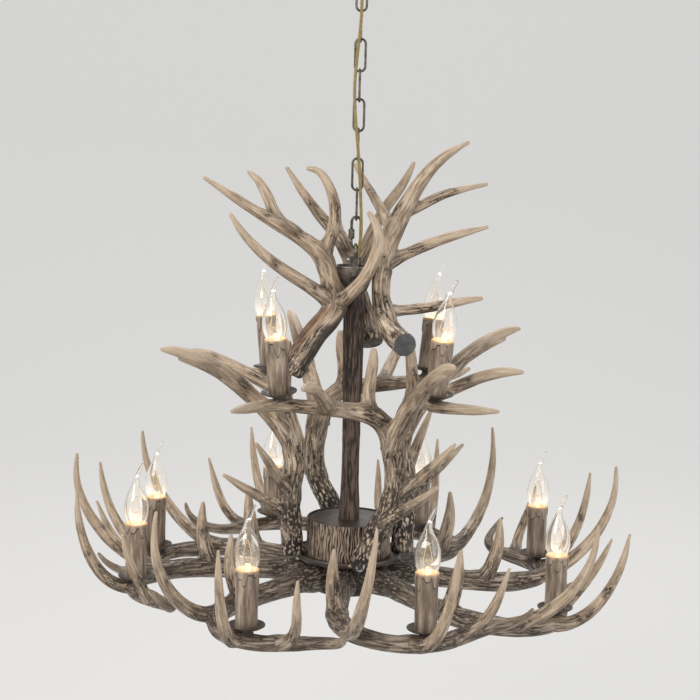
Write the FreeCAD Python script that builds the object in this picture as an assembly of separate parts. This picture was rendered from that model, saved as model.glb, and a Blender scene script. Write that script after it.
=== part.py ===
import FreeCAD, Part
import math
import os

# Two-tier antler chandelier on a chain, in millimetres.
# Z is up, the origin is the middle of the ceiling bracket's top face, and -Y is the front.

Vector = FreeCAD.Vector
os.makedirs("parts", exist_ok=True)

# Ceiling fitting
bracket_length = 100.0
bracket_width = 20.0
bracket_thickness = 2.5
mount_hole_spacing = 70.0
mount_hole_radius = 2.5
canopy_radius = 60.0
canopy_depth = 24.0
canopy_wall = 1.2
stem_radius = 5.0
stem_nut_height = 5.0
loop_collar_radius = 9.0
loop_collar_height = 12.0
loop_thread_depth = 9.0
loop_ring_radius = 9.0
loop_ring_wire = 5.0
thread_clearance = 0.05

# Chain and quick link
link_count = 8
link_wire = 3.4
link_length = 49.0
link_width = 18.0
wire_gap = 0.3
quick_wire = 4.0
quick_length = 48.0
quick_width = 17.0
quick_opening = 5.0
quick_opening_drop = 5.5
sleeve_length = 14.0
sleeve_overlap = 1.5
sleeve_radius = 4.5
sleeve_clearance = 0.06

# Column, from the hanging loop down to the finial under the hub
bail_wire = 4.5
bail_radius = 6.2
bail_leg = 11.5
shank_radius = 8.5
shank_length = 48.0
shank_thread_depth = 29.0
set_screw_radius = 1.8
set_screw_length = 7.0
rod_radius = 5.0
rod_clearance = 0.05
cup_height = 37.0
cup_band = 9.0
cup_rim_radius = 28.0
cup_neck_radius = 16.5
cup_wall = 1.5
cup_floor = 3.0
column_length = 335.0
column_top_radius = 15.0
column_waist_radius = 13.3
column_foot_radius = 16.0
column_bore_radius = 8.0
drum_height = 53.0
drum_top_radius = 61.5
drum_bottom_radius = 62.5
drum_wall = 3.0
drum_ledge = 4.0
lid_thickness = 3.0
lid_recess = 1.5
lid_clearance = 0.1
dish_radius = 78.0
dish_thickness = 5.0
dish_edge = 1.5
hub_height = 44.0
hub_drop = 20.0
hub_flats = 58.0
hub_wall = 14.0
hub_sides = 8
plate_radius = 52.0
plate_thickness = 4.0
finial_radius = 13.0
finial_height = 14.0
finial_step = 4.0
finial_flat = 3.0
finial_thread_depth = 10.0

# Screws that hold the antlers
antler_screw_radius = 4.0
antler_screw_depth = 26.0
antler_head_radius = 6.5
antler_head_height = 5.0
leg_head_height = 3.0
leg_screw_inset = 9.5
crown_screw_radius = 2.5
crown_screw_depth = 14.0
crown_head_radius = 4.5
crown_head_height = 3.0
screw_clearance = 0.05

# Candle lights
neck_radius = 10.0
neck_height = 8.0
neck_seat_depth = 2.5
neck_clearance = 0.3
drip_radius = 25.0
drip_flat_radius = 15.5
drip_rise = 4.5
drip_thickness = 1.6
sleeve_outer_radius = 15.3
candle_wall = 1.8
candle_length = 79.0
holder_radius = 12.5
holder_height = 55.0
holder_pin_radius = 4.0
holder_pin_length = 8.0
pin_clearance = 0.1
cap_radius = 7.0
cap_length = 26.0
cap_stand = 2.0
cap_clearance = 0.1
glass_wall = 0.9
glass_radius = 17.2
glass_length = 107.0
glass_tip_bend = 9.0
mount_radius = 2.6
mount_height = 30.0
filament_radius = 0.7
filament_height = 14.0
upper_candle_lean = 7.0

# Power cord
cord_radius = 2.25
cord_clearance = 0.4
cord_entry = (3.7, 1.6)
cord_entry_depth = 10.0
cord_past_bail = (5.0, 5.0)
cord_canopy_offset = 20.0

# Cast antlers: spacing of their sections, and the share of a tip's radius that its round end takes
section_spacing = 22.0
tip_share = 0.98

# How each cast antler was turned and tipped by hand when it was screwed on, in degrees
lower_turns = [-24.5, 18.5, 66.5, 113.5, 158, 203, 248.5, 290.5]
lower_droops = [-0.7, -1.8, 3.1, 1.6, 1.1, -1.5, 0.9, -3.0]
upper_turns = [2, 90, -90, 175.5]
upper_droops = [0, -0.5, 1.5, 0]

# Heights along the axis, worked out from the ceiling down
canopy_floor = -canopy_depth
loop_collar_end = canopy_floor - loop_collar_height
ring_middle = loop_collar_end - loop_ring_radius + loop_ring_wire / 2
ring_bottom = ring_middle - loop_ring_radius
link_span = link_length - link_wire
first_link_top = ring_bottom + (loop_ring_wire + link_wire) / 2 + wire_gap
link_pitch = link_span - link_wire - wire_gap
link_middles = [first_link_top - link_span / 2 - k * link_pitch for k in range(link_count)]
chain_bottom = link_middles[-1] - link_span / 2
quick_span = quick_length - quick_wire
quick_middle = chain_bottom + (link_wire + quick_wire) / 2 + wire_gap - quick_span / 2
quick_bottom = quick_middle - quick_span / 2
bail_top = quick_bottom + (quick_wire + bail_wire) / 2 + wire_gap
shank_top = bail_top - bail_radius - bail_leg
cup_bottom = shank_top - shank_length - cup_floor
cup_rim = cup_bottom + cup_height
column_foot = cup_bottom - column_length
drum_rim = column_foot + lid_recess
drum_foot = drum_rim - drum_height
hub_top = drum_foot - dish_thickness
hub_foot = hub_top - hub_height
hub_plane = hub_foot + hub_drop
plate_foot = hub_foot - plate_thickness

# Antler stations: across, outward, up and radius. Each list is one branch from root to tip.
# Lower antler: across and outward are measured at its candle, up from the hub plane.
lower_beam = [(-18, 42, 0, 19.5), (-25, 58, 0, 20.5), (-30, 70, 0, 19.5), (-37, 86, -1, 16.5),
              (-58, 136, -5, 15), (-76, 186, -9, 14.5), (-82, 232, -12, 13.5), (-68, 274, -14, 12.5),
              (-45, 304, -15, 11.5), (-12, 319, -16, 11.5), (18, 321, -16, 11), (65, 305, -14, 10),
              (108, 296, -9, 8), (134, 309, 0, 6), (146, 336, 24, 2.4)]
lower_tines = [
    [(-76, 184, -9, 12), (-84, 196, 20, 11), (-88, 202, 52, 8.5), (-87, 203, 86, 3)],
    [(-81, 222, -12, 12), (-88, 290, 0, 10.5), (-97, 348, 42, 8.5), (-98, 385, 100, 6),
     (-93, 393, 159, 2.2)],
    [(-14, 318, -15, 11), (-4, 355, -4, 9), (3, 390, 40, 7.5), (7, 406, 85, 5.5), (9, 412, 126, 2.2)],
    [(48, 312, -15, 10), (74, 326, 4, 8), (90, 350, 46, 6), (98, 366, 89, 2.2)],
]
lower_candle = (2, 319.5)

# Upper antler: it stands on the dish, and up is measured from the dish's top face.
upper_beam = [(11, 79, -14, 16.5), (16, 80, 2, 17.5), (22, 81, 18, 16.5), (34, 83, 46, 15.5),
              (50, 84, 76, 15.5), (60, 82, 108, 15.5), (61, 76, 144, 15.5), (53, 82, 190, 16),
              (36, 90, 216, 14), (5, 97, 229, 12.5), (-32, 103, 234, 11), (-70, 110, 238, 10),
              (-104, 118, 241, 9), (-128, 138, 243, 8.5), (-150, 170, 245, 7), (-166, 200, 247, 3)]
upper_tines = [
    [(54, 80, 170, 14), (66, 108, 216, 13), (88, 155, 265, 11), (108, 205, 303, 9), (117, 232, 315, 7.5),
     (124, 254, 320, 3)],
    [(84, 148, 256, 9), (101, 192, 290, 7.5), (108, 214, 300, 6), (113, 231, 305, 3)],
    [(24, 92, 223, 11), (21, 90, 260, 9), (25, 87, 292, 8), (26, 85, 313, 5)],
    [(-36, 104, 234, 10), (-48, 156, 261, 9), (-60, 200, 280, 8), (-67, 222, 285, 6.5), (-73, 241, 286, 3)],
    [(38, 84, 60, 11), (68, 110, 89, 9), (95, 145, 117, 6.5), (113, 172, 140, 2.8)],
    [(58, 80, 96, 10), (85, 95, 126, 8.5), (115, 110, 159, 6.5), (140, 125, 190, 2.8)],
]
upper_candle = (-104, 118)

# Crown antlers lean on the cup's band, and up is measured from the cup's rim.
left_crown = [
    [(-89, 37, -150, 18.5), (-71, 36, -120, 18), (-50, 32, -88, 17.5), (-28, 28, -57, 16.5),
     (-33, 18, -30, 15), (-40.5, 8, -3, 14), (-55, 10, 22, 12.5), (-78, 14, 40, 11), (-108, 18, 58, 10.5),
     (-140, 24, 76, 8), (-176, 30, 99, 6.5), (-214, 36, 123, 3)],
    [(-28, 28, -57, 12), (-60, 38, -29, 10), (-93, 50, -7, 9), (-125, 60, 17, 8), (-154, 64, 45, 6),
     (-175, 64, 74, 3)],
    [(-28, 28, -57, 12), (-8, 43, -36, 10), (14, 53, -10, 9.5), (27, 57, 19, 9), (32, 54, 49, 7.5),
     (18, 46, 80, 3.5)],
    [(-46, 9, 7, 11), (-40, 4, 30, 10), (-32, 0, 57, 9), (-31, -4, 84, 8.5), (-39, -8, 111, 7),
     (-54, -12, 133, 5.5), (-71, -14, 138, 3)],
    [(-96, 17, 51, 10), (-116, 12, 73, 8.5), (-127, 6, 96, 8), (-140, 0, 118, 6), (-155, -4, 131, 3)],
]
right_crown = [
    [(73, 60, -103, 17.5), (64, 40, -99, 16.5), (49, 18, -83, 15.5), (40, 2, -58, 14), (38, -6, -30, 13.5),
     (40, -8, 0, 13.5), (48, -8, 34, 13.5), (60, -6, 64, 13), (73, -4, 92, 12), (91, 0, 124, 10),
     (118, 6, 156, 7.5), (155, 12, 181, 3)],
    [(43, 2, -66, 10), (66, 4, -62, 8), (106, 8, -56, 7.5), (146, 12, -47, 6.5), (181, 16, -40, 3.5)],
    [(44, -8, 3, 11), (70, -10, 17, 8.5), (106, -16, 33, 8), (149, -22, 48, 6.5), (189, -26, 59, 3)],
    [(68, -5, 79, 9), (88, -12, 86, 7.5), (113, -22, 99, 7), (147, -32, 111, 5.5), (187, -40, 120, 3)],
    [(53, -8, 52, 10), (40, -20, 74, 8), (25, -34, 97, 6.5), (10, -44, 121, 5), (-4, -50, 144, 3)],
]
back_crown = [
    [(26, -30, -116, 18), (21, -39, -95, 16.5), (12, -42, -66, 15), (2, -41, -32, 14), (-3, -40.5, -3, 13.5),
     (-13, -46, 17, 11.5), (-26, -52, 37, 10), (-49, -58, 63, 8.5), (-78, -62, 99, 6.5), (-103, -62, 135, 3)],
    [(-2, -42, -13, 12), (12, -46, 13, 10.5), (23, -52, 42, 10), (40, -60, 77, 8.5), (66, -68, 114, 6.5),
     (82, -72, 146, 3)],
    [(0, -41, -24, 12), (20, -66, -6, 9.5), (42, -102, 22, 7.5), (62, -136, 54, 3)],
    [(-18, -48, 24, 10), (-26, -76, 46, 8), (-32, -108, 72, 6.5), (-36, -140, 102, 3)],
]

# Cord route beside the chain: where it hangs at each link, right and front of the axis
cord_beside_links = [(0.5, 14), (0, 13), (-4.5, 9.5), (-7.5, 6.5), (-5.5, 8), (-0.5, 12.6), (3.5, 9.5), (6, 7)]
cord_beside_quick_link = (7.8, 6.2)


def cylinder(radius, low, high, across=0.0, out=0.0):
    return Part.makeCylinder(radius, high - low, Vector(across, -out, low))


def spun(edges):
    """A solid of revolution about Z from profile edges in the XZ plane."""
    wire = Part.Wire(Part.__sortEdges__(edges))
    return Part.Face(wire).revolve(Vector(), Vector(0, 0, 1), 360)


def spun_polygon(points):
    corners = [Vector(r, 0, z) for r, z in points]
    return spun(Part.makePolygon(corners + corners[:1]).Edges)


def line(a, b):
    return Part.LineSegment(Vector(a[0], 0, a[1]), Vector(b[0], 0, b[1])).toShape()


def arc(a, b, c):
    return Part.Arc(*[Vector(p[0], 0, p[1]) for p in (a, b, c)]).toShape()


def prism(flats, sides, low, high):
    """An upright regular prism with one flat to the front."""
    corner = flats / math.cos(math.pi / sides)
    turn = 2 * math.pi / sides
    angles = [turn * (k + 0.5) for k in range(sides + 1)]
    outline = Part.makePolygon([Vector(corner * math.sin(a), -corner * math.cos(a), low) for a in angles])
    return Part.Face(outline).extrude(Vector(0, 0, high - low))


def wire_loop(length, width, wire):
    """An oval link of round wire in the XZ plane, centred on the origin."""
    half = (width - wire) / 2
    rise = (length - width) / 2
    corners = [Vector(half, 0, -rise), Vector(half, 0, rise), Vector(-half, 0, rise), Vector(-half, 0, -rise)]
    path = Part.Wire([
        Part.LineSegment(corners[0], corners[1]).toShape(),
        Part.Arc(corners[1], Vector(0, 0, rise + half), corners[2]).toShape(),
        Part.LineSegment(corners[2], corners[3]).toShape(),
        Part.Arc(corners[3], Vector(0, 0, -rise - half), corners[0]).toShape(),
    ])
    section = Part.Wire(Part.makeCircle(wire / 2, corners[0], Vector(0, 0, 1)))
    return path.makePipeShell([section], True, False)


def half_ring(radius, wire):
    """The upper half of a ring of round wire in the YZ plane, centred on the origin."""
    section = Part.Face(Part.Wire(Part.makeCircle(wire / 2, Vector(0, -radius, 0), Vector(0, 0, 1))))
    return section.revolve(Vector(), Vector(1, 0, 0), -180)


def branch(stations):
    """A smooth tapering limb: round sections at even steps, square to the line through the stations."""
    points = [Vector(across, -out, up) for across, out, up, radius in stations]
    curve = Part.BSplineCurve()
    curve.interpolate(points)
    marks = [curve.parameter(point) for point in points]
    places = []
    for k in range(len(stations) - 1):
        steps = max(1, round(curve.length(marks[k], marks[k + 1]) / section_spacing))
        for step in range(steps):
            share = step / steps
            radius = stations[k][3] + share * (stations[k + 1][3] - stations[k][3])
            places.append((marks[k] + share * (marks[k + 1] - marks[k]), radius))
    places.append((marks[-1], stations[-1][3]))
    side = curve.tangent(marks[0])[0].cross(Vector(0.3, 0.2, 1))
    sections = []
    for mark, radius in places:
        point = curve.value(mark)
        along = curve.tangent(mark)[0]
        side = side - along * side.dot(along)
        side.normalize()
        circle = Part.Wire(Part.makeCircle(radius))
        turn = FreeCAD.Rotation(side, along.cross(side), along, "ZXY")
        circle.Placement = FreeCAD.Placement(point, turn)
        sections.append(circle)
    return Part.makeLoft(sections, True, False)


def antler(branches):
    """One casting: the beam with its tines fused on, and a round end on each."""
    limbs = [branch(stations) for stations in branches]
    ends = [stations[-1] for stations in branches]
    tips = [Part.makeSphere(tip_share * radius, Vector(across, -out, up)) for across, out, up, radius in ends]
    return limbs[0].fuse(limbs[1:] + tips).Solids[0]


def turned(shape, degrees):
    copy = shape.copy()
    copy.rotate(Vector(), Vector(0, 0, 1), degrees)
    return copy


def raised(shape, height):
    copy = shape.copy()
    copy.translate(Vector(0, 0, height))
    return copy


def screw(radius, length, head_radius, head_height):
    """A screw along -Y whose head ends at the origin."""
    shank = Part.makeCylinder(radius, length, Vector(), Vector(0, -1, 0))
    head = Part.makeCylinder(head_radius, head_height, Vector(), Vector(0, 1, 0))
    return shank.fuse(head).removeSplitter()


def write(name, shapes):
    shapes = shapes if isinstance(shapes, list) else [shapes]
    solids = [solid for shape in shapes for solid in shape.Solids]
    result = solids[0] if len(solids) == 1 else Part.makeCompound(solids)
    result.exportStep("parts/" + name + ".step")
    print(name, len(solids), "solids", round(sum(s.Volume for s in solids)), "mm3", result.isValid())


# Ceiling bracket, canopy, threaded stem and the loop that carries the chain
bracket = Part.makeBox(bracket_length, bracket_width, bracket_thickness,
                       Vector(-bracket_length / 2, -bracket_width / 2, -bracket_thickness))
bracket = bracket.cut(cylinder(stem_radius + thread_clearance, -bracket_thickness, 0))
for side in (-1, 1):
    bracket = bracket.cut(cylinder(mount_hole_radius, -bracket_thickness, 0, side * mount_hole_spacing / 2))
write("ceiling_bracket", bracket)

stem_hole = stem_radius + thread_clearance
inner_radius = canopy_radius - canopy_wall
flat_radius = canopy_radius / 3
shoulder = canopy_depth / 8
outer_bend = (0.76 * canopy_radius, -0.77 * canopy_depth)
inner_bend = (0.76 * canopy_radius - 0.7 * canopy_wall, -0.77 * canopy_depth + 0.9 * canopy_wall)
canopy = spun([
    line((canopy_radius, 0), (canopy_radius, -shoulder)),
    arc((canopy_radius, -shoulder), outer_bend, (flat_radius, canopy_floor)),
    line((flat_radius, canopy_floor), (stem_hole, canopy_floor)),
    line((stem_hole, canopy_floor), (stem_hole, canopy_floor + canopy_wall)),
    line((stem_hole, canopy_floor + canopy_wall), (flat_radius, canopy_floor + canopy_wall)),
    arc((flat_radius, canopy_floor + canopy_wall), inner_bend, (inner_radius, -shoulder)),
    line((inner_radius, -shoulder), (inner_radius, 0)),
    line((inner_radius, 0), (canopy_radius, 0)),
])
cord_hole = cylinder(cord_radius + cord_clearance, 2 * canopy_floor, 0, 0, cord_canopy_offset)
write("canopy", canopy.cut(cord_hole))

stem_end = canopy_floor - loop_thread_depth
write("canopy_stem", cylinder(stem_radius, stem_end, 0))
stem_nut = prism(1.6 * stem_radius, 6, -bracket_thickness - stem_nut_height, -bracket_thickness)
write("stem_nut", stem_nut.cut(cylinder(stem_hole, 2 * canopy_floor, 0)))

collar = cylinder(loop_collar_radius, loop_collar_end, canopy_floor)
ring = half_ring(loop_ring_radius, loop_ring_wire)
ring = ring.fuse(ring.mirror(Vector(), Vector(0, 0, 1)))
canopy_loop = collar.fuse(raised(ring, ring_middle))
write("canopy_loop", canopy_loop.cut(cylinder(stem_hole, stem_end, canopy_floor)))

# Chain links, each turned a quarter from the one above
link = wire_loop(link_length, link_width, link_wire)
for k, middle in enumerate(link_middles):
    write("chain_link_%d" % (k + 1), raised(turned(link, 90 * (k % 2)), middle))

# Quick link: an oval with a gap in one leg, closed by a threaded sleeve
quick_leg = (quick_width - quick_wire) / 2
gap_foot = -quick_opening_drop - quick_opening / 2
gap = cylinder(quick_wire, gap_foot, gap_foot + quick_opening, -quick_leg)
write("quick_link", raised(wire_loop(quick_length, quick_width, quick_wire).cut(gap), quick_middle))
sleeve_foot = gap_foot - sleeve_overlap
sleeve = cylinder(sleeve_radius, sleeve_foot, sleeve_foot + sleeve_length, -quick_leg)
sleeve = sleeve.makeChamfer(sleeve_radius / 5, [e for e in sleeve.Edges if e.Closed])
bore = cylinder(quick_wire / 2 + sleeve_clearance, -sleeve_length, sleeve_length, -quick_leg)
write("quick_link_sleeve", raised(sleeve.cut(bore), quick_middle))

# Loop on top of the column: a bail, and a shank bored for the rod and for the cord
shank_bottom = shank_top - shank_length
bail = raised(half_ring(bail_radius, bail_wire), shank_top + bail_leg)
column_loop = cylinder(shank_radius, shank_bottom, shank_top).fuse(bail)
for side in (-1, 1):
    leg = cylinder(bail_wire / 2, shank_top - bail_wire / 2, shank_top + bail_leg, 0, side * bail_radius)
    column_loop = column_loop.fuse(leg)
rod_hole = rod_radius + rod_clearance
rod_top = shank_bottom + shank_thread_depth
column_loop = column_loop.cut(cylinder(rod_hole, shank_bottom, rod_top))
cord_bottom = shank_top - cord_entry_depth
bend_height = bail_top - bail_radius / 2
entry_end = Vector(cord_entry[0], -cord_entry[1], cord_bottom)
entry_start = Vector(cord_past_bail[0], -cord_past_bail[1], bend_height)
entry_run = entry_start - entry_end
cord_bore = Part.makeCylinder(cord_radius + cord_clearance, entry_run.Length, entry_end, entry_run)
column_loop = column_loop.cut(cord_bore.common(cylinder(shank_radius, cord_bottom - cord_radius, shank_top)))
set_screw_height = cord_bottom + cord_entry_depth / 2
set_screw = Part.makeCylinder(set_screw_radius, set_screw_length,
                              Vector(-shank_radius - set_screw_length / 2, 0, set_screw_height),
                              Vector(1, 0, 0))
screw_space = Part.makeCylinder(set_screw_radius + screw_clearance, set_screw_length / 2,
                                Vector(-shank_radius, 0, set_screw_height), Vector(1, 0, 0))
write("column_loop", column_loop.cut(screw_space))
write("loop_set_screw", set_screw)

# Cup with a straight band, open at the top, with one screw hole for each crown antler
band_foot = cup_rim - cup_band
inner_neck = cup_neck_radius - cup_wall
cup_outside = [(0, cup_bottom), (cup_neck_radius, cup_bottom), (cup_rim_radius, band_foot),
               (cup_rim_radius, cup_rim), (0, cup_rim)]
cup_hollow = [(0, cup_bottom + cup_floor), (inner_neck, cup_bottom + cup_floor),
              (cup_rim_radius - cup_wall, band_foot), (cup_rim_radius - cup_wall, cup_rim + cup_band),
              (0, cup_rim + cup_band)]
cup_block = spun_polygon(cup_outside)
cup = cup_block.cut(spun_polygon(cup_hollow)).cut(cylinder(rod_hole, cup_bottom, cup_rim))

# Column tube with a waist, standing on the drum's lid
column_third = column_length / 3
outline = Part.BSplineCurve()
outline.interpolate([
    Vector(column_foot_radius, 0, column_foot),
    Vector(column_waist_radius, 0, column_foot + column_third),
    Vector(column_top_radius, 0, column_foot + 2 * column_third),
    Vector(column_top_radius, 0, cup_bottom),
])
column = spun([
    outline.toShape(),
    line((column_top_radius, cup_bottom), (column_bore_radius, cup_bottom)),
    line((column_bore_radius, cup_bottom), (column_bore_radius, column_foot)),
    line((column_bore_radius, column_foot), (column_foot_radius, column_foot)),
])
write("column_tube", column)

# Drum: a slightly tapered shell with a ledge, and the lid that lies in it
lid_top = column_foot
lid_foot = lid_top - lid_thickness
lid_radius = drum_top_radius - drum_wall
drum = spun_polygon([
    (drum_bottom_radius, drum_foot), (drum_top_radius, drum_rim), (lid_radius, drum_rim),
    (lid_radius, lid_foot), (lid_radius - drum_ledge, lid_foot),
    (lid_radius - drum_ledge, lid_foot - drum_ledge), (lid_radius, lid_foot - 2 * drum_ledge),
    (lid_radius, drum_foot),
])
write("drum_shell", drum)
lid = cylinder(lid_radius - lid_clearance, lid_foot, lid_top)
write("drum_lid", lid.cut(cylinder(rod_hole, lid_foot, lid_top)))

# Dish, eight-sided hub, bottom plate, tie rod and finial
dish = cylinder(dish_radius, hub_top, drum_foot)
dish = dish.makeFillet(dish_edge, [e for e in dish.Edges if e.Closed])
dish = dish.cut(cylinder(rod_hole, hub_top, drum_foot))
hub_block = prism(hub_flats, hub_sides, hub_foot, hub_top)
hub = hub_block.cut(prism(hub_flats - hub_wall, hub_sides, hub_foot, hub_top))
hub_space = prism(hub_flats, hub_sides, plate_foot - finial_height, hub_top)
base_plate = cylinder(plate_radius, plate_foot, hub_foot)
write("base_plate", base_plate.cut(cylinder(rod_hole, plate_foot, hub_foot)))
finial_foot = plate_foot - finial_height
finial_shoulder = plate_foot - finial_step
finial_bend = (0.82 * finial_radius, finial_foot + 0.35 * (finial_height - finial_step))
finial = spun([
    line((0, plate_foot), (finial_radius, plate_foot)),
    line((finial_radius, plate_foot), (finial_radius, finial_shoulder)),
    arc((finial_radius, finial_shoulder), finial_bend, (finial_flat, finial_foot)),
    line((finial_flat, finial_foot), (0, finial_foot)),
    line((0, finial_foot), (0, plate_foot)),
])
rod_bottom = plate_foot - finial_thread_depth
write("finial_nut", finial.cut(cylinder(rod_hole, rod_bottom, plate_foot)))
write("tie_rod", cylinder(rod_radius, rod_bottom, rod_top))

# One candle light, standing on z = 0
drip_foot = neck_height
candle_foot = drip_foot + drip_thickness
candle_top = candle_foot + candle_length
pin_hole = holder_pin_radius + pin_clearance
neck = cylinder(neck_radius, 0, neck_height)
neck = neck.cut(cylinder(pin_hole, neck_height - holder_pin_length + drip_thickness, neck_height))
drip_plate = spun_polygon([
    (pin_hole, drip_foot), (drip_flat_radius, drip_foot), (drip_radius, drip_foot + drip_rise),
    (drip_radius - drip_thickness / 2, drip_foot + drip_rise + drip_thickness),
    (drip_flat_radius, candle_foot), (pin_hole, candle_foot),
])
candle = cylinder(sleeve_outer_radius, candle_foot, candle_top)
candle = candle.cut(cylinder(sleeve_outer_radius - candle_wall, candle_foot, candle_top))
holder_top = candle_foot + holder_height
cap_top = holder_top + cap_stand
cap_foot = cap_top - cap_length
pin_foot = candle_foot - holder_pin_length
holder = cylinder(holder_radius, candle_foot, holder_top).fuse(cylinder(holder_pin_radius, pin_foot, candle_foot))
holder = holder.cut(cylinder(cap_radius + cap_clearance, cap_foot, holder_top))
cap = cylinder(cap_radius, cap_foot, cap_top)
mount = cylinder(mount_radius, cap_top, cap_top + mount_height)
mount_tip = cap_top + mount_height
mount = mount.fuse(cylinder(filament_radius, mount_tip - filament_radius, mount_tip + filament_height))

# Flame bulb: share of the length, share of the radius and share of the bend at each station
flame = [(0, 0.37, 0), (0.1, 0.53, 0), (0.2, 0.76, 0), (0.3, 0.94, 0), (0.41, 1, 0), (0.52, 0.9, 0),
         (0.62, 0.66, -0.02), (0.72, 0.36, -0.06), (0.82, 0.22, 0.1), (0.91, 0.17, 0.48), (1, 0.1, 1)]
outer_flame = [(b * glass_tip_bend, 0, cap_top + h * glass_length, r * glass_radius) for h, r, b in flame]
inner_flame = [(x, y, z, r - glass_wall) for x, y, z, r in outer_flame[:-3]]
glass = branch(outer_flame).cut(branch(inner_flame))

light_pieces = {"candle_necks": neck, "drip_plates": drip_plate, "candle_sleeves": candle,
                "lamp_holders": holder, "bulb_caps": cap, "bulb_mounts": mount, "bulb_glasses": glass}
lights = {name: [] for name in light_pieces}


def set_light(limb, seat, lean, bearing):
    """Cut a flat seat in an antler and stand a candle light on it."""
    tilt = FreeCAD.Rotation(Vector(math.cos(bearing), math.sin(bearing), 0), lean)
    place = FreeCAD.Placement(seat, tilt)
    space = cylinder(neck_radius + neck_clearance, 0, candle_length)
    space.Placement = place
    for name, piece in light_pieces.items():
        copy = piece.copy()
        copy.Placement = place
        lights[name].append(copy)
    return limb.cut(space)


def hung(shape, height, droop, droop_point, turn):
    """Place a casting at its height, tipped about a point and turned about the axis."""
    copy = raised(shape, height)
    copy.rotate(droop_point, Vector(1, 0, 0), droop)
    return turned(copy, turn)


def hung_point(point, droop, droop_point, turn):
    tip = FreeCAD.Rotation(Vector(1, 0, 0), droop)
    moved = tip.multVec(point - droop_point) + droop_point
    return FreeCAD.Rotation(Vector(0, 0, 1), turn).multVec(moved)


def beam_top(stations, across):
    """Height of the top of a beam where it passes under a candle."""
    for a, b in zip(stations, stations[1:]):
        if (a[0] - across) * (b[0] - across) <= 0 and a[1] > hub_flats:
            share = (across - a[0]) / (b[0] - a[0])
            middle = a[2] + share * (b[2] - a[2])
            return middle + a[3] + share * (b[3] - a[3])


# Lower tier: eight castings bolted to the flats of the hub
screws = []
lower_cast = antler([lower_beam] + lower_tines)
lower_pivot = Vector(0, -hub_flats, hub_plane)
lower_seat = Vector(lower_candle[0], -lower_candle[1],
                    hub_plane + beam_top(lower_beam[6:], lower_candle[0]) - neck_seat_depth)
lower_screw = screw(antler_screw_radius, hub_wall + antler_screw_depth, antler_head_radius, antler_head_height)
lower_screw.translate(Vector(0, hub_wall - hub_flats, hub_plane))
lower_drill = Part.makeCylinder(antler_screw_radius + screw_clearance, hub_wall + antler_screw_depth,
                                Vector(0, hub_wall - hub_flats, hub_plane), Vector(0, -1, 0))
for k, (turn, droop) in enumerate(zip(lower_turns, lower_droops)):
    flat_turn = (k - 1) * 360 / hub_sides
    limb = hung(lower_cast, hub_plane, droop, lower_pivot, turn).cut(hub_space)
    drill = turned(lower_drill, flat_turn)
    seat = hung_point(lower_seat, droop, lower_pivot, turn)
    limb = set_light(limb.cut(drill), seat, 0, 0)
    write("lower_antler_%d" % (k + 1), limb)
    hub = hub.cut(drill)
    screws.append(turned(lower_screw, flat_turn))
write("hub_block", hub)

# Crown: three castings screwed to the band of the cup from inside
crown_screw = screw(crown_screw_radius, cup_wall + crown_screw_depth, crown_head_radius, crown_head_height)
band_middle = cup_rim - cup_band / 2
head_seat = math.sqrt((cup_rim_radius - cup_wall) ** 2 - crown_head_radius ** 2)
crown_screw.translate(Vector(0, -head_seat, band_middle))
crown_drill = Part.makeCylinder(crown_screw_radius + screw_clearance, cup_wall + crown_screw_depth,
                                Vector(0, -head_seat, band_middle), Vector(0, -1, 0))
# The station of each beam that lies against the band
crowns = {"crown_antler_left": (left_crown, 5), "crown_antler_right": (right_crown, 5),
          "crown_antler_back": (back_crown, 4)}
crown_limbs = []
for name, (branches, touch) in crowns.items():
    across, out = branches[0][touch][:2]
    turn = math.degrees(math.atan2(across, out))
    drill = turned(crown_drill, turn)
    crown_limbs.append(raised(antler(branches), cup_rim).cut(cup_block).cut(drill))
    write(name, crown_limbs[-1])
    cup = cup.cut(drill)
    screws.append(turned(crown_screw, turn))

# Upper tier: four castings that stand on the dish beside the drum and prop the crown where they meet it
upper_cast = antler([upper_beam] + upper_tines)
foot = upper_beam[1]
upper_pivot = Vector(foot[0], -foot[1], drum_foot)
upper_seat = Vector(upper_candle[0], -upper_candle[1],
                    drum_foot + beam_top(upper_beam[7:], upper_candle[0]) - neck_seat_depth)
leg_screw = screw(antler_screw_radius, dish_thickness + antler_screw_depth, antler_head_radius, leg_head_height)
leg_screw.rotate(Vector(), Vector(1, 0, 0), -90)
inset = 1 - leg_screw_inset / math.hypot(foot[0], foot[1])
leg_screw.translate(Vector(inset * foot[0], -inset * foot[1], hub_top))
leg_drill = cylinder(antler_screw_radius + screw_clearance, hub_top, drum_foot + antler_screw_depth,
                     inset * foot[0], inset * foot[1])
below_dish = cylinder(2 * dish_radius, hub_foot, drum_foot)
for k, (turn, droop) in enumerate(zip(upper_turns, upper_droops)):
    limb = hung(upper_cast, drum_foot, droop, upper_pivot, turn).cut([below_dish] + crown_limbs).Solids[0]
    drill = turned(leg_drill, turn)
    seat = hung_point(upper_seat, droop, upper_pivot, turn)
    bearing = math.atan2(seat.y, seat.x) + math.pi / 2
    limb = set_light(limb.cut(drill), seat, upper_candle_lean, bearing)
    write("upper_antler_%d" % (k + 1), limb)
    dish = dish.cut(drill)
    screws.append(turned(leg_screw, turn))
write("hub_dish", dish)

write("column_cup", cup)
write("antler_screws", screws)
for name, pieces in lights.items():
    write(name, pieces)

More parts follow.
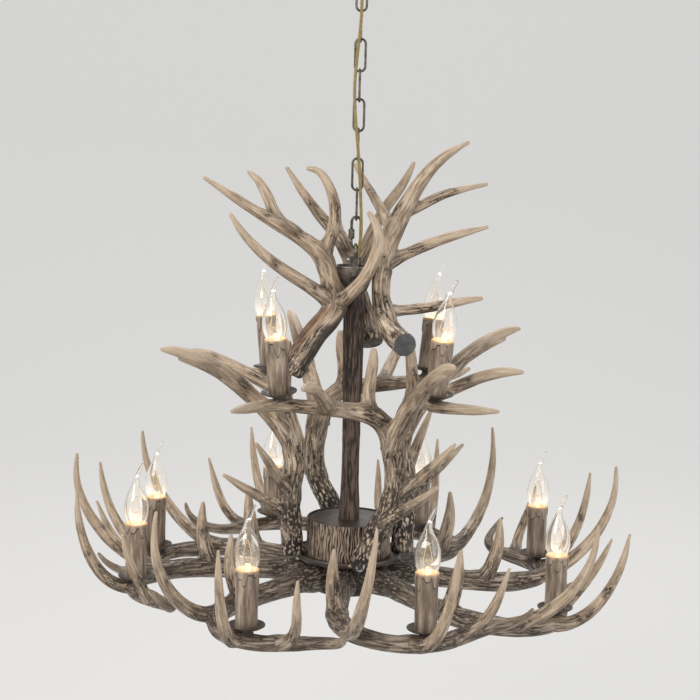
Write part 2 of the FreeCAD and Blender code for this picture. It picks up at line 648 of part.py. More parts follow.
# Power cord: straight runs joined by the largest arcs that fit, cut where the links pivot
stops = [(0, cord_canopy_offset, canopy_floor / 2), (0, cord_canopy_offset - 0.3, 2 * ring_bottom - link_middles[0])]
stops += [(x, out, z) for (x, out), z in zip(cord_beside_links, link_middles)]
stops.append(cord_beside_quick_link + (quick_middle,))
stops.append(cord_past_bail + (bend_height,))
stops.append(cord_entry + (cord_bottom,))
corners = [Vector(x, -out, z) for x, out, z in stops]
path = []
last = corners[0]
radii = []
for before, corner, after in zip(corners, corners[1:], corners[2:]):
    back = before - corner
    on = after - corner
    turn = math.pi - back.getAngle(on)
    reach = 0.45 * min(back.Length, on.Length)
    radius = reach / math.tan(turn / 2)
    radii.append(round(radius))
    start = corner + back.normalize() * reach
    end = corner + on.normalize() * reach
    bisector = (start + end) * 0.5 - corner
    depth = math.hypot(radius, reach) - radius
    middle = corner + bisector.normalize() * depth
    path.append(Part.LineSegment(last, start).toShape())
    path.append(Part.Arc(start, middle, end).toShape())
    last = end
path.append(Part.LineSegment(last, corners[-1]).toShape())
route = Part.Wire(path)
section = Part.Wire(Part.makeCircle(cord_radius, corners[0], corners[1] - corners[0]))
tube = route.makePipeShell([section], True, False)
print("cord bend radii", radii)
print("cord volume", round(tube.Volume), "section times length", round(math.pi * cord_radius ** 2 * route.Length))
cuts = [0] + [(a[2] + b[2]) / 2 for a, b in zip(stops[1:], stops[2:-1])] + [cord_bottom - cord_radius]
for k, (high, low) in enumerate(zip(cuts, cuts[1:])):
    slab = Part.makeBox(4 * canopy_radius, 4 * canopy_radius, high - low,
                        Vector(-2 * canopy_radius, -2 * canopy_radius, low))
    write("cord_%d" % k, tube.common(slab))
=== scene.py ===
# %% [markdown]
# # Antler chandelier
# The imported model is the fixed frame: every piece is already at its real size and place, in metres, with +Z
# up. This lesson dresses it. Cast antlers get a bony skin, the column and the drum get bark, the candles get
# wax runs, and the bulbs get thin glass with a glowing wire. Every new piece rides on the body of what it
# stands for.

# %% Load the frame
import math
import bpy
import bmesh
import numpy as np
from mathutils import Matrix, Quaternion, Vector, noise


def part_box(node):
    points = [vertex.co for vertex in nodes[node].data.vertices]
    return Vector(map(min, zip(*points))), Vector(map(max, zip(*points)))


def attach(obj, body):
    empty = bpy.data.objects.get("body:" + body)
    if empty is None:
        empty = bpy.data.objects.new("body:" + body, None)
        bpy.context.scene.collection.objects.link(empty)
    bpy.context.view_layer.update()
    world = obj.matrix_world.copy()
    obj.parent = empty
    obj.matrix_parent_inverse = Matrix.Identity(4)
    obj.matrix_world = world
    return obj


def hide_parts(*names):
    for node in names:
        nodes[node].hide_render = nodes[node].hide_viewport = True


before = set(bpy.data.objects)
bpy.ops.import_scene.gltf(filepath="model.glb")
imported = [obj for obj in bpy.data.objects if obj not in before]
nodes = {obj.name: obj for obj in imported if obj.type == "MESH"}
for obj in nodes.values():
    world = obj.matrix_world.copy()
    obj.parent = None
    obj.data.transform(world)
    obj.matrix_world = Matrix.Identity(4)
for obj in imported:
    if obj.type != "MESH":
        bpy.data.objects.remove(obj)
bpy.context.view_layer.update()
scene = bpy.context.scene

# %% [markdown]
# ## Camera
# The picture was taken from a little above the middle of the light, from about two and a half metres away,
# and the column leans slightly to the right in it. The lens is long, so the tiers overlap almost as in a
# drawing. The values come from a fit of tips and candles to their places in the picture.

# %% Camera
photo_pixels, lens_pixels, shift_pixels = 700, 1687.0, -3.1
camera_distance, camera_lift, camera_roll = 2.446, math.radians(8.9), math.radians(1.43)
sensor_width = 36.0
root_rise, aim_rise = 0.020, 0.3306


def corners(node_name):
    """The low and the high corner of a frame node's box."""
    return [Vector(corner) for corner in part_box(node_name)]


hub_plane = corners("hub_block")[0].z + root_rise
aim = Vector((0, 0, hub_plane + aim_rise))
camera_data = bpy.data.cameras.new("camera")
camera_data.sensor_width = sensor_width
camera_data.lens = sensor_width * lens_pixels / photo_pixels
camera_data.shift_x = shift_pixels / photo_pixels
camera = bpy.data.objects.new("camera", camera_data)
scene.collection.objects.link(camera)
camera.location = aim + Vector((0, -math.cos(camera_lift), math.sin(camera_lift))) * camera_distance
camera.rotation_mode = "QUATERNION"
look = (aim - camera.location).to_track_quat("-Z", "Y")
camera.rotation_quaternion = look @ Quaternion((0, 0, 1), camera_roll)
scene.camera = camera
print("camera at", camera.location[:])

# %% [markdown]
# ## Small helpers
# A finish is a tree of shader nodes. The first helpers write one in a few lines, and every pattern is worked
# out from coordinates, so no picture file is needed. The last helpers turn a form into a piece that rides on
# a body and stands for nodes of the frame.

# %% Helpers for finishes


def plug(tree, value, socket):
    """Link a node's output to a socket, or set a plain value. A colour gets its alpha here."""
    if isinstance(value, bpy.types.NodeSocket):
        tree.links.new(value, socket)
    elif socket.type == "RGBA":
        socket.default_value = (*value, 1)
    else:
        socket.default_value = value


def shader(tree, kind, values=None, **settings):
    made = tree.nodes.new("ShaderNode" + kind)
    for name, value in settings.items():
        setattr(made, name, value)
    for name, value in (values or {}).items():
        plug(tree, value, made.inputs[name])
    return made


def drive(tree, surface, **values):
    """Set inputs of a surface shader, or link them."""
    for key, value in values.items():
        plug(tree, value, surface.inputs[key.replace("_", " ")])


def finish(name, **values):
    """A new material: its tree, its surface shader and itself."""
    material = bpy.data.materials.new(name)
    material.use_nodes = True
    tree = material.node_tree
    surface = tree.nodes["Principled BSDF"]
    drive(tree, surface, **values)
    print("finish", name)
    return tree, surface, material


def attribute(tree, name, output="Fac"):
    return shader(tree, "Attribute", attribute_name=name).outputs[output]


def object_spot(tree):
    return shader(tree, "TexCoord").outputs["Object"]


def stretched(tree, vector, *scale):
    return shader(tree, "Mapping", {"Vector": vector, "Scale": scale}).outputs["Vector"]


def clouds(tree, vector, scale, detail, roughness=0.5, distortion=0.0):
    values = {"Vector": vector, "Scale": scale, "Detail": detail, "Roughness": roughness,
              "Distortion": distortion}
    return shader(tree, "TexNoise", values).outputs["Fac"]


def scattered(tree, vector, scale):
    """Distance to the nearest of many scattered points."""
    return shader(tree, "TexVoronoi", {"Vector": vector, "Scale": scale}).outputs["Distance"]


def ramp(tree, factor, *stops):
    """A band of colours along a value. A plain number is a grey."""
    made = shader(tree, "ValToRGB", {"Fac": factor})
    band = made.color_ramp
    while len(band.elements) < len(stops):
        band.elements.new(0.5)
    for element, (place, colour) in zip(band.elements, stops):
        element.position = place
        element.color = (*colour, 1) if isinstance(colour, tuple) else (colour, colour, colour, 1)
    return made.outputs["Color"]


def mixed(tree, factor, first, second):
    """Mix two colours. The node has inputs for each type of data, and 6 and 7 are its colours."""
    made = shader(tree, "Mix", data_type="RGBA")
    for number, value in ((0, factor), (6, first), (7, second)):
        plug(tree, value, made.inputs[number])
    return made.outputs[2]


def maths(tree, operation, first, second):
    made = shader(tree, "Math", operation=operation)
    for socket, value in zip(made.inputs, (first, second)):
        plug(tree, value, socket)
    return made.outputs[0]


def times(tree, first, second):
    return maths(tree, "MULTIPLY", first, second)


def relief(tree, surface, height, strength, distance):
    bump = shader(tree, "Bump", {"Height": height, "Strength": strength, "Distance": distance})
    drive(tree, surface, Normal=bump.outputs["Normal"])


# %% Helpers for pieces


def mesh_of(name, bm):
    mesh = bpy.data.meshes.new(name)
    bm.to_mesh(mesh)
    bm.free()
    return mesh


def piece(name, form, material, body, *stands_for, slot, smooth_angle=None):
    """Link a mesh or a bmesh as a piece that rides on a body in place of nodes of the frame."""
    mesh = mesh_of(name, form) if isinstance(form, bmesh.types.BMesh) else form
    made = bpy.data.objects.new(name, mesh)
    scene.collection.objects.link(made)
    mesh.materials.append(material)
    mesh.polygons.foreach_set("use_smooth", [True] * len(mesh.polygons))
    if smooth_angle:
        mesh.set_sharp_from_angle(angle=math.radians(smooth_angle))
    if stands_for:
        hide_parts(*stands_for)
    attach(made, body)
    print(name, len(mesh.polygons), "faces")


def merged_copy(node_name):
    """A bmesh copy of a frame node with its loose triangles joined."""
    bm = bmesh.new()
    bm.from_mesh(nodes[node_name].data)
    bmesh.ops.remove_doubles(bm, verts=bm.verts, dist=2e-6)
    return bm


# %% [markdown]
# ## Cord
# A gold cord hangs beside the chain from the canopy to the loop of the column. It has one point beside each
# link, and a spline that such points guide hangs in soft curves. The chain swings at every link, so the cord
# is made in spans that meet half way between two points, where neighbouring spans have the same direction.

# %% Cord finish
tree, surface, cord_finish = finish("gold_cord", Roughness=0.28, Transmission_Weight=0.25, IOR=1.48)
flecks = clouds(tree, object_spot(tree), 260.0, 3.0)
drive(tree, surface, Base_Color=ramp(tree, flecks, (0.3, (0.26, 0.18, 0.045)), (0.7, (0.46, 0.34, 0.10))))
relief(tree, surface, flecks, 0.15, 0.0004)

# %% Cord spans
cord_diameter = 0.0045
cord_points = [(0, -20, -12), (0, -19.7, -33.2), (0.5, -14, -69.8), (0, -13, -111.7), (-4.5, -9.5, -153.6),
               (-7.5, -6.5, -195.5), (-5.5, -8, -237.4), (-0.5, -12.6, -279.3), (3.5, -9.5, -321.2),
               (6, -7, -363.1), (7.8, -6.2, -403.9), (5, -5, -424.45), (3.7, -1.6, -449.05)]
cord_points = [Vector(point) / 1000 for point in cord_points]
span_bodies = ["ceiling"] + ["link_%d" % k for k in range(1, 9)] + ["quick_link", "fixture"]
halves = [(a + b) / 2 for a, b in zip(cord_points[1:], cord_points[2:-1])]
starts = [cord_points[0]] + halves
ends = halves + [cord_points[-1]]


def round_wire(name, points, radius, roundness, steps):
    """A curve of one open spline that the points guide, with a round section."""
    curve = bpy.data.curves.new(name, "CURVE")
    curve.dimensions = "3D"
    curve.bevel_depth = radius
    curve.bevel_resolution = roundness
    curve.use_fill_caps = True
    spline = curve.splines.new("NURBS")
    spline.points.add(len(points) - 1)
    for point, place in zip(spline.points, points):
        point.co = (*place, 1)
    spline.order_u = 3
    spline.use_endpoint_u = True
    spline.resolution_u = steps
    return curve


def span_length(a, b, c):
    steps = [a * (1 - t) ** 2 + b * 2 * t * (1 - t) + c * t * t for t in np.linspace(0, 1, 60)]
    return sum((q - p).length for p, q in zip(steps, steps[1:]))


cord_total = 0
for k, body in enumerate(span_bodies):
    start, corner, end = starts[k], cord_points[k + 1], ends[k]
    curve = round_wire("cord_span_%d" % k, (start, corner, end), cord_diameter / 2, 4, 12)
    curve.materials.append(cord_finish)
    span = bpy.data.objects.new("cord_span_%d" % k, curve)
    scene.collection.objects.link(span)
    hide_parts("cord_%d" % k)
    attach(span, body)
    length = span_length(start, corner, end)
    cord_total += length
print("cord length", round(cord_total, 4))

# %% [markdown]
# ## Antler skin
# The antlers are resin castings of real shed antlers, pebbled near the root, grooved along the beam and worn
# smooth at the tips. A texture in space can't follow a bent tine, so each skin gets its own coordinates: how
# far along the branch a point lies and which way round. The solids of the frame give the form. A copy is
# remeshed to an even net, and each point looks up the nearest place on the centre lines that the castings
# were drawn from. A station of a line is its distance to the right, to the front and up, and the radius
# there, in millimetres. The castings of a tier are one shape, each turned and drooped by some degrees.

# %% Centre lines of the lower and upper castings
lower_lines = [
    [(-18, 42, 0, 19.5), (-25, 58, 0, 20.5), (-30, 70, 0, 19.5), (-37, 86, -1, 16.5), (-58, 136, -5, 15),
     (-76, 186, -9, 14.5), (-82, 232, -12, 13.5), (-68, 274, -14, 12.5), (-45, 304, -15, 11.5),
     (-12, 319, -16, 11.5), (18, 321, -16, 11), (65, 305, -14, 10), (108, 296, -9, 8), (134, 309, 0, 6),
     (146, 336, 24, 2.4)],
    [(-76, 184, -9, 12), (-84, 196, 20, 11), (-88, 202, 52, 8.5), (-87, 203, 86, 3)],
    [(-81, 222, -12, 12), (-88, 290, 0, 10.5), (-97, 348, 42, 8.5), (-98, 385, 100, 6), (-93, 393, 159, 2.2)],
    [(-14, 318, -15, 11), (-4, 355, -4, 9), (3, 390, 40, 7.5), (7, 406, 85, 5.5), (9, 412, 126, 2.2)],
    [(48, 312, -15, 10), (74, 326, 4, 8), (90, 350, 46, 6), (98, 366, 89, 2.2)],
]
upper_lines = [
    [(11, 79, -14, 16.5), (16, 80, 2, 17.5), (22, 81, 18, 16.5), (34, 83, 46, 15.5), (50, 84, 76, 15.5),
     (60, 82, 108, 15.5), (61, 76, 144, 15.5), (53, 82, 190, 16), (36, 90, 216, 14), (5, 97, 229, 12.5),
     (-32, 103, 234, 11), (-70, 110, 238, 10), (-104, 118, 241, 9), (-128, 138, 243, 8.5),
     (-150, 170, 245, 7), (-166, 200, 247, 3)],
    [(54, 80, 170, 14), (66, 108, 216, 13), (88, 155, 265, 11), (108, 205, 303, 9), (117, 232, 315, 7.5),
     (124, 254, 320, 3)],
    [(84, 148, 256, 9), (101, 192, 290, 7.5), (108, 214, 300, 6), (113, 231, 305, 3)],
    [(24, 92, 223, 11), (21, 90, 260, 9), (25, 87, 292, 8), (26, 85, 313, 5)],
    [(-36, 104, 234, 10), (-48, 156, 261, 9), (-60, 200, 280, 8), (-67, 222, 285, 6.5), (-73, 241, 286, 3)],
    [(38, 84, 60, 11), (68, 110, 89, 9), (95, 145, 117, 6.5), (113, 172, 140, 2.8)],
    [(58, 80, 96, 10), (85, 95, 126, 8.5), (115, 110, 159, 6.5), (140, 125, 190, 2.8)],
]
lower_turns = [(-24.5, -0.7), (18.5, -1.8), (66.5, 3.1), (113.5, 1.6), (158, 1.1), (203, -1.5), (248.5, 0.9),
               (290.5, -3.0)]
upper_turns = [(2, 0), (90, -0.5), (-90, 1.5), (175.5, 0)]
print("lower castings", len(lower_turns), "upper castings", len(upper_turns))

# %% Centre lines of the crown
crown_lines = {
    "left": [
        [(-89, 37, -150, 18.5), (-71, 36, -120, 18), (-50, 32, -88, 17.5), (-28, 28, -57, 16.5),
         (-33, 18, -30, 15), (-40.5, 8, -3, 14), (-55, 10, 22, 12.5), (-78, 14, 40, 11), (-108, 18, 58, 10.5),
         (-140, 24, 76, 8), (-176, 30, 99, 6.5), (-214, 36, 123, 3)],
        [(-28, 28, -57, 12), (-60, 38, -29, 10), (-93, 50, -7, 9), (-125, 60, 17, 8), (-154, 64, 45, 6),
         (-175, 64, 74, 3)],
        [(-28, 28, -57, 12), (-8, 43, -36, 10), (14, 53, -10, 9.5), (27, 57, 19, 9), (32, 54, 49, 7.5),
         (18, 46, 80, 3.5)],
        [(-46, 9, 7, 11), (-40, 4, 30, 10), (-32, 0, 57, 9), (-31, -4, 84, 8.5), (-39, -8, 111, 7),
         (-54, -12, 133, 5.5), (-71, -14, 138, 3)],
        [(-96, 17, 51, 10), (-116, 12, 73, 8.5), (-127, 6, 96, 8), (-140, 0, 118, 6), (-155, -4, 131, 3)],
    ],
    "right": [
        [(73, 60, -103, 17.5), (64, 40, -99, 16.5), (49, 18, -83, 15.5), (40, 2, -58, 14),
         (38, -6, -30, 13.5), (40, -8, 0, 13.5), (48, -8, 34, 13.5), (60, -6, 64, 13), (73, -4, 92, 12),
         (91, 0, 124, 10), (118, 6, 156, 7.5), (155, 12, 181, 3)],
        [(43, 2, -66, 10), (66, 4, -62, 8), (106, 8, -56, 7.5), (146, 12, -47, 6.5), (181, 16, -40, 3.5)],
        [(44, -8, 3, 11), (70, -10, 17, 8.5), (106, -16, 33, 8), (149, -22, 48, 6.5), (189, -26, 59, 3)],
        [(68, -5, 79, 9), (88, -12, 86, 7.5), (113, -22, 99, 7), (147, -32, 111, 5.5), (187, -40, 120, 3)],
        [(53, -8, 52, 10), (40, -20, 74, 8), (25, -34, 97, 6.5), (10, -44, 121, 5), (-4, -50, 144, 3)],
    ],
    "back": [
        [(26, -30, -116, 18), (21, -39, -95, 16.5), (12, -42, -66, 15), (2, -41, -32, 14),
         (-3, -40.5, -3, 13.5), (-13, -46, 17, 11.5), (-26, -52, 37, 10), (-49, -58, 63, 8.5),
         (-78, -62, 99, 6.5), (-103, -62, 135, 3)],
        [(-2, -42, -13, 12), (12, -46, 13, 10.5), (23, -52, 42, 10), (40, -60, 77, 8.5),
         (66, -68, 114, 6.5), (82, -72, 146, 3)],
        [(0, -41, -24, 12), (20, -66, -6, 9.5), (42, -102, 22, 7.5), (62, -136, 54, 3)],
        [(-18, -48, 24, 10), (-26, -76, 46, 8), (-32, -108, 72, 6.5), (-36, -140, 102, 3)],
    ],
}
print("crown castings", len(crown_lines))

# %% Antler coordinates


def smooth_line(stations, per_run=10):
    """Points with radii, lengths and directions along a soft curve through the stations."""
    rows = np.array([(x, -out, up, radius) for x, out, up, radius in stations], float) / 1000
    padded = np.vstack([2 * rows[0] - rows[1], rows, 2 * rows[-1] - rows[-2]])
    t = np.linspace(0, 1, per_run, endpoint=False)[:, None]
    runs = []
    for a, b, c, d in zip(padded, padded[1:], padded[2:], padded[3:]):
        runs.append(0.5 * (2 * b + (c - a) * t + (2 * a - 5 * b + 4 * c - d) * t ** 2
                           + (3 * b - a - 3 * c + d) * t ** 3))
    line = np.vstack(runs + [rows[-1:]])
    steps = np.linalg.norm(np.diff(line[:, :3], axis=0), axis=1)
    along = np.concatenate([[0], np.cumsum(steps)])
    heading = np.gradient(line[:, :3], axis=0)
    heading /= np.linalg.norm(heading, axis=1)[:, None]
    return line, along, heading


def carried_sides(heading):
    """A side direction at every point of a line, turned as little as possible from one to the next."""
    side = np.cross(heading[0], (0.3, 0.2, 1.0))
    sides = []
    for direction in heading:
        side = side - direction * side.dot(direction)
        side /= np.linalg.norm(side)
        sides.append(side)
    return np.array(sides)


def casting_lines(branches, place):
    """All centre lines of one casting in its place, as columns of what the skin needs at each point."""
    turn = np.array(place.to_3x3())
    parts = []
    for number, stations in enumerate(branches):
        line, along, heading = smooth_line(stations)
        parts.append({"spot": line[:, :3] @ turn.T + np.array(place.translation), "radius": line[:, 3],
                      "heading": heading @ turn.T, "side": carried_sides(heading) @ turn.T,
                      "along": along, "share": along / along[-1], "branch": np.full(len(line), number)})
    return {name: np.concatenate([part[name] for part in parts]) for name in parts[0]}


def placed(droop, droop_point, turn, height):
    """Lift a casting to its height, tip it about its root and turn it to its place round the column."""
    lifted = Matrix.Translation((0, 0, height))
    to_pivot = Matrix.Translation(droop_point)
    tipped = to_pivot @ Matrix.Rotation(math.radians(droop), 4, "X") @ to_pivot.inverted()
    return Matrix.Rotation(math.radians(turn), 4, "Z") @ tipped @ lifted


# %% [markdown]
# ### Antler finish
# On the real castings a dark stain was brushed on and wiped off. It stays in thin cracks and round the
# pebbles of the root, and it is gone from the tips. Painted shade darkens the forks and the undersides of the
# beams, and the lower castings get darker towards the root. The bone is streaked along the branch. One root
# of the crown is rusty above and carries painted shade, dark grey, below, and another shows a grey saw cut.
# Each of these is a mask that lays one colour over the last, because masks can be changed one at a time.

# %% Bone
tree, surface, antler_finish = finish("antler_bone", Roughness=0.5)
grain = attribute(tree, "grain", "Vector")
tip, burr, shade_and_stain, sawn, rust, underside_shade, weathered = [
    attribute(tree, name) for name in ("tip", "burr", "shade_and_stain", "sawn", "rust", "underside_shade", "weathered")]
streaks = clouds(tree, grain, 2.3, 7.0, 0.66, 0.3)
patches = clouds(tree, object_spot(tree), 26.0, 4.0)
smooth_bone = ramp(tree, streaks, (0.30, (0.22, 0.147, 0.090)), (0.45, (0.45, 0.330, 0.222)),
                   (0.61, (0.70, 0.555, 0.41)))
rough_bone = ramp(tree, streaks, (0.34, (0.034, 0.022, 0.015)), (0.42, (0.21, 0.147, 0.098)),
                  (0.51, (0.53, 0.405, 0.290)), (0.60, (0.88, 0.73, 0.575)))
bone = mixed(tree, weathered, smooth_bone, rough_bone)
blotches = ramp(tree, patches, (0.46, 0), (0.74, 0.5))
bone = mixed(tree, blotches, bone, (0.19, 0.124, 0.078))
rust_colour = ramp(tree, streaks, (0.38, (0.06, 0.032, 0.02)), (0.58, (0.33, 0.155, 0.062)))
bone = mixed(tree, times(tree, rust, 0.85), bone, rust_colour)

# %% Cracks, painted shade under the rusty root and worn tips
veins = clouds(tree, stretched(tree, grain, 1.0, 1.0, 1.7), 1.1, 6.0, 0.66, 0.9)
crack_mask = ramp(tree, veins, (0.436, 0), (0.453, 1), (0.487, 1), (0.506, 0))
spread = maths(tree, "ADD", patches, times(tree, weathered, 0.16))
broken = ramp(tree, spread, (0.52, 0.06), (0.64, 1))
unworn = maths(tree, "SUBTRACT", 1.0, tip)
crack_mask = times(tree, times(tree, crack_mask, broken), unworn)
stained_and_shaded = mixed(tree, crack_mask, bone, (0.016, 0.010, 0.007))
# Painted shade: dark grey on the downward faces of the rusty root of the crown.
stained_and_shaded = mixed(tree, times(tree, underside_shade, 0.85), stained_and_shaded, (0.045, 0.043, 0.043))
worn = mixed(tree, times(tree, tip, 0.6), stained_and_shaded, (0.60, 0.475, 0.345))

# %% Pebbles, painted shade, darker roots and cut
long_grain = stretched(tree, grain, 2.1, 2.1, 9.5)
ragged = maths(tree, "SUBTRACT", clouds(tree, long_grain, 1.3, 5.0), 0.5)
pebbles = maths(tree, "ADD", scattered(tree, long_grain, 1.0), times(tree, ragged, 1.3))
pebble_colour = ramp(tree, pebbles, (0.26, (0.74, 0.61, 0.46)), (0.42, (0.22, 0.157, 0.105)),
                     (0.54, (0.013, 0.010, 0.009)))
pebble_mask = times(tree, burr, ramp(tree, patches, (0.30, 0.5), (0.5, 1)))
rooted = mixed(tree, pebble_mask, worn, pebble_colour)
# Painted shade: this dark colour lays shade into the forks and under the beams, and darkens the lower
# castings towards the root.
shade_and_stain_mask = times(tree, shade_and_stain, ramp(tree, streaks, (0.40, 0.9), (0.60, 0.5)))
rooted = mixed(tree, shade_and_stain_mask, rooted, (0.040, 0.027, 0.019))
cut_colour = ramp(tree, patches, (0.3, (0.085, 0.088, 0.092)), (0.7, (0.15, 0.152, 0.155)))
drive(tree, surface, Base_Color=mixed(tree, sawn, rooted, cut_colour))

# %% Gloss and relief of the antlers
drive(tree, surface, Roughness=ramp(tree, streaks, (0.35, 0.62), (0.7, 0.38)))
groove_height = maths(tree, "SUBTRACT", streaks, times(tree, crack_mask, 0.6))
pebble_height = times(tree, pebble_mask, maths(tree, "SUBTRACT", 0.6, pebbles))
height = maths(tree, "ADD", groove_height, times(tree, pebble_height, 1.7))
relief(tree, surface, height, 0.8, 0.0017)

# %% [markdown]
# ### Skin of a casting
# The skin moves each point of the net a little, for grooves, ripples, full tips and webs in the forks. It
# also notes how much the finish shows there of painted shade in the forks and on undersides, darker roots,
# pebbles, rust and wear. Both follow from the nearest centre line. Last, the skin is held inside the box of
# its casting, so that the size stays.

# %% Nets and places


def smoothstep(low, high, value):
    t = np.clip((value - low) / (high - low), 0, 1)
    return t * t * (3 - 2 * t)


def even_net(node_name, size, rounds):
    """An evenly meshed, softly smoothed copy of a frame node."""
    rough = bpy.data.objects.new("rough_casting", mesh_of("rough_casting", merged_copy(node_name)))
    scene.collection.objects.link(rough)
    net = rough.modifiers.new("net", "REMESH")
    net.mode = "VOXEL"
    net.voxel_size = size
    soft = rough.modifiers.new("soft", "SMOOTH")
    soft.factor = 0.5
    soft.iterations = rounds
    graph = bpy.context.evaluated_depsgraph_get()
    mesh = bpy.data.meshes.new_from_object(rough.evaluated_get(graph))
    bpy.data.objects.remove(rough)
    return mesh


def vectors_of(items, field):
    values = np.empty(len(items) * 3)
    items.foreach_get(field, values)
    return values.reshape(-1, 3)


def nearest_places(spots, lines):
    """What the centre lines say at the point nearest to each spot, and how deep in a fork the spot lies."""
    fork_reach, spots_at_once = 0.013, 4000
    nearest = np.empty(len(spots), int)
    crotch = np.zeros(len(spots))
    for start in range(0, len(spots), spots_at_once):
        part = slice(start, start + spots_at_once)
        gaps = np.linalg.norm(spots[part, None] - lines["spot"], axis=2) - lines["radius"]
        best = gaps.argmin(axis=1)
        nearest[part] = best
        own_branch = lines["branch"] == lines["branch"][best][:, None]
        other = np.where(own_branch, np.inf, gaps).min(axis=1)
        crotch[part] = 1 - smoothstep(0.0, fork_reach, other - gaps.min(axis=1))
    return {name: values[nearest] for name, values in lines.items()}, crotch


# %% Skin of one casting
fine_net, quick_net = 0.0017, 0.0030
grain_round, grain_along, grain_shift = 130, 14, 3.7
groove_depth, ripple_depth, web_depth, most_lost_girth = 0.0007, 0.0009, 0.0022, 0.0012


def antler_skin(node_name, branches, place, seed, pebbled, rough_to, dark_root=0.0, sawn_end=False,
                rusty_end=False):
    """Dress one casting. The pebbles and the roughness fade between two distances from the root."""
    mesh = even_net(node_name, fine_net, 3)
    spots = vectors_of(mesh.vertices, "co")
    normals = vectors_of(mesh.vertex_normals, "vector")
    facing_up = normals[:, 2]
    lines = casting_lines(branches, place)
    at, crotch = nearest_places(spots, lines)
    along, share, branch, girth = at["along"], at["share"], at["branch"], at["radius"]
    near_root = np.linalg.norm(spots - lines["spot"][0], axis=1)
    flat_end = ((normals * lines["heading"][0]).sum(axis=1) < -0.85) & (near_root < 0.024)

    tip = smoothstep(0.55, 0.95, share) * np.where(branch == 0, smoothstep(0.82, 0.97, share), 1)
    burr = 1 - smoothstep(*pebbled, near_root)
    # Painted shade: darker in the forks and on faces turned down, less at the tips. The lower castings also
    # get darker towards the root.
    underside = 0.75 * (1 - smoothstep(-0.8, 0.0, facing_up))
    shade_and_stain = np.maximum(0.6 * crotch, underside) * (1 - 0.6 * tip)
    beam_share = np.where(branch > 0, 1 - smoothstep(0.05, 0.4, share), 1)
    shade_and_stain = np.maximum(shade_and_stain, dark_root * beam_share * (1 - smoothstep(0.24, 0.52, near_root)))
    weathered = 1 - 0.85 * smoothstep(*rough_to, near_root)
    weathered *= np.where(branch > 0, 1 - 0.75 * smoothstep(0.15, 0.6, share), 1)
    rusty = rusty_end * np.where(branch == 0, 1 - smoothstep(0.07, 0.19, along), 0)
    masks = {"tip": tip, "burr": burr, "shade_and_stain": shade_and_stain, "weathered": weathered,
             # painted shade under the rusty root
             "underside_shade": rusty * (1 - smoothstep(-0.35, 0.05, facing_up)),
             "rust": rusty * smoothstep(0.0, 0.5, facing_up),
             "sawn": flat_end * (1.0 if sawn_end else 0.4)}

    offset = spots - at["spot"]
    up = np.cross(at["heading"], at["side"])
    angle = np.arctan2((offset * up).sum(axis=1), (offset * at["side"]).sum(axis=1))
    grain = np.stack([np.cos(angle) * girth * grain_round, np.sin(angle) * girth * grain_round,
                      along * grain_along + seed * grain_shift], 1)
    groove = np.array([noise.noise(Vector(p)) for p in grain * (1.5, 1.5, 1.0)])
    ripple = np.array([noise.noise(Vector(p)) for p in spots * 55 + seed])
    depth = groove_depth * groove * (1 - 0.75 * tip) + ripple_depth * ripple * (0.35 + burr) * (1 - tip)
    lost_girth = np.clip(girth - np.linalg.norm(offset, axis=1), 0, most_lost_girth)
    webbed = crotch * (1 - tip) * smoothstep(-0.6, 0.1, facing_up)
    depth += tip * lost_girth + web_depth * webbed
    depth[flat_end] = 0
    spots = np.clip(spots + normals * depth[:, None], *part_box(node_name))
    mesh.vertices.foreach_set("co", spots.ravel())
    mesh.attributes.new("grain", "FLOAT_VECTOR", "POINT").data.foreach_set("vector", grain.ravel())
    for name, values in masks.items():
        mesh.attributes.new(name, "FLOAT", "POINT").data.foreach_set("value", values)
    mesh.name = node_name + "_skin"
    piece(mesh.name, mesh, antler_finish, "fixture", node_name, slot="antler_resin")


# %% Skins of all castings
dish_top = corners("hub_dish")[1].z
cup_rim = corners("column_cup")[1].z
lower_pivot = Vector((0, -0.058, hub_plane))
upper_pivot = Vector((0.016, -0.080, dish_top))
for k, (turn, droop) in enumerate(lower_turns, 1):
    antler_skin("lower_antler_%d" % k, lower_lines, placed(droop, lower_pivot, turn, hub_plane), k,
                pebbled=(0.045, 0.115), rough_to=(0.22, 0.36), dark_root=0.92)
for k, (turn, droop) in enumerate(upper_turns, 1):
    antler_skin("upper_antler_%d" % k, upper_lines, placed(droop, upper_pivot, turn, dish_top), k + 10,
                pebbled=(0.085, 0.19), rough_to=(0.11, 0.27))
for k, (name, branches) in enumerate(crown_lines.items()):
    antler_skin("crown_antler_" + name, branches, Matrix.Translation((0, 0, cup_rim)), k + 21,
                pebbled=(-0.02, 0.0) if name == "right" else (0.012, 0.045), rough_to=(0.03, 0.17),
                sawn_end=name == "right", rusty_end=name == "left")

# %% [markdown]
# ## Bark on the column and the drum
# The column is a cast tube that copies a debarked branch, with fine upright furrows, and the drum is a slice
# of a trunk with coarser ones. A spun profile gives the round form. Furrows are real geometry here, because
# they show on the outline: each point moves in or out by a ridged noise that is stretched along the height.

# %% Turned forms


def drawn(foot, *points):
    """A profile from radii and heights above a foot in millimetres."""
    return [(radius / 1000, foot + height / 1000) for radius, height in points]


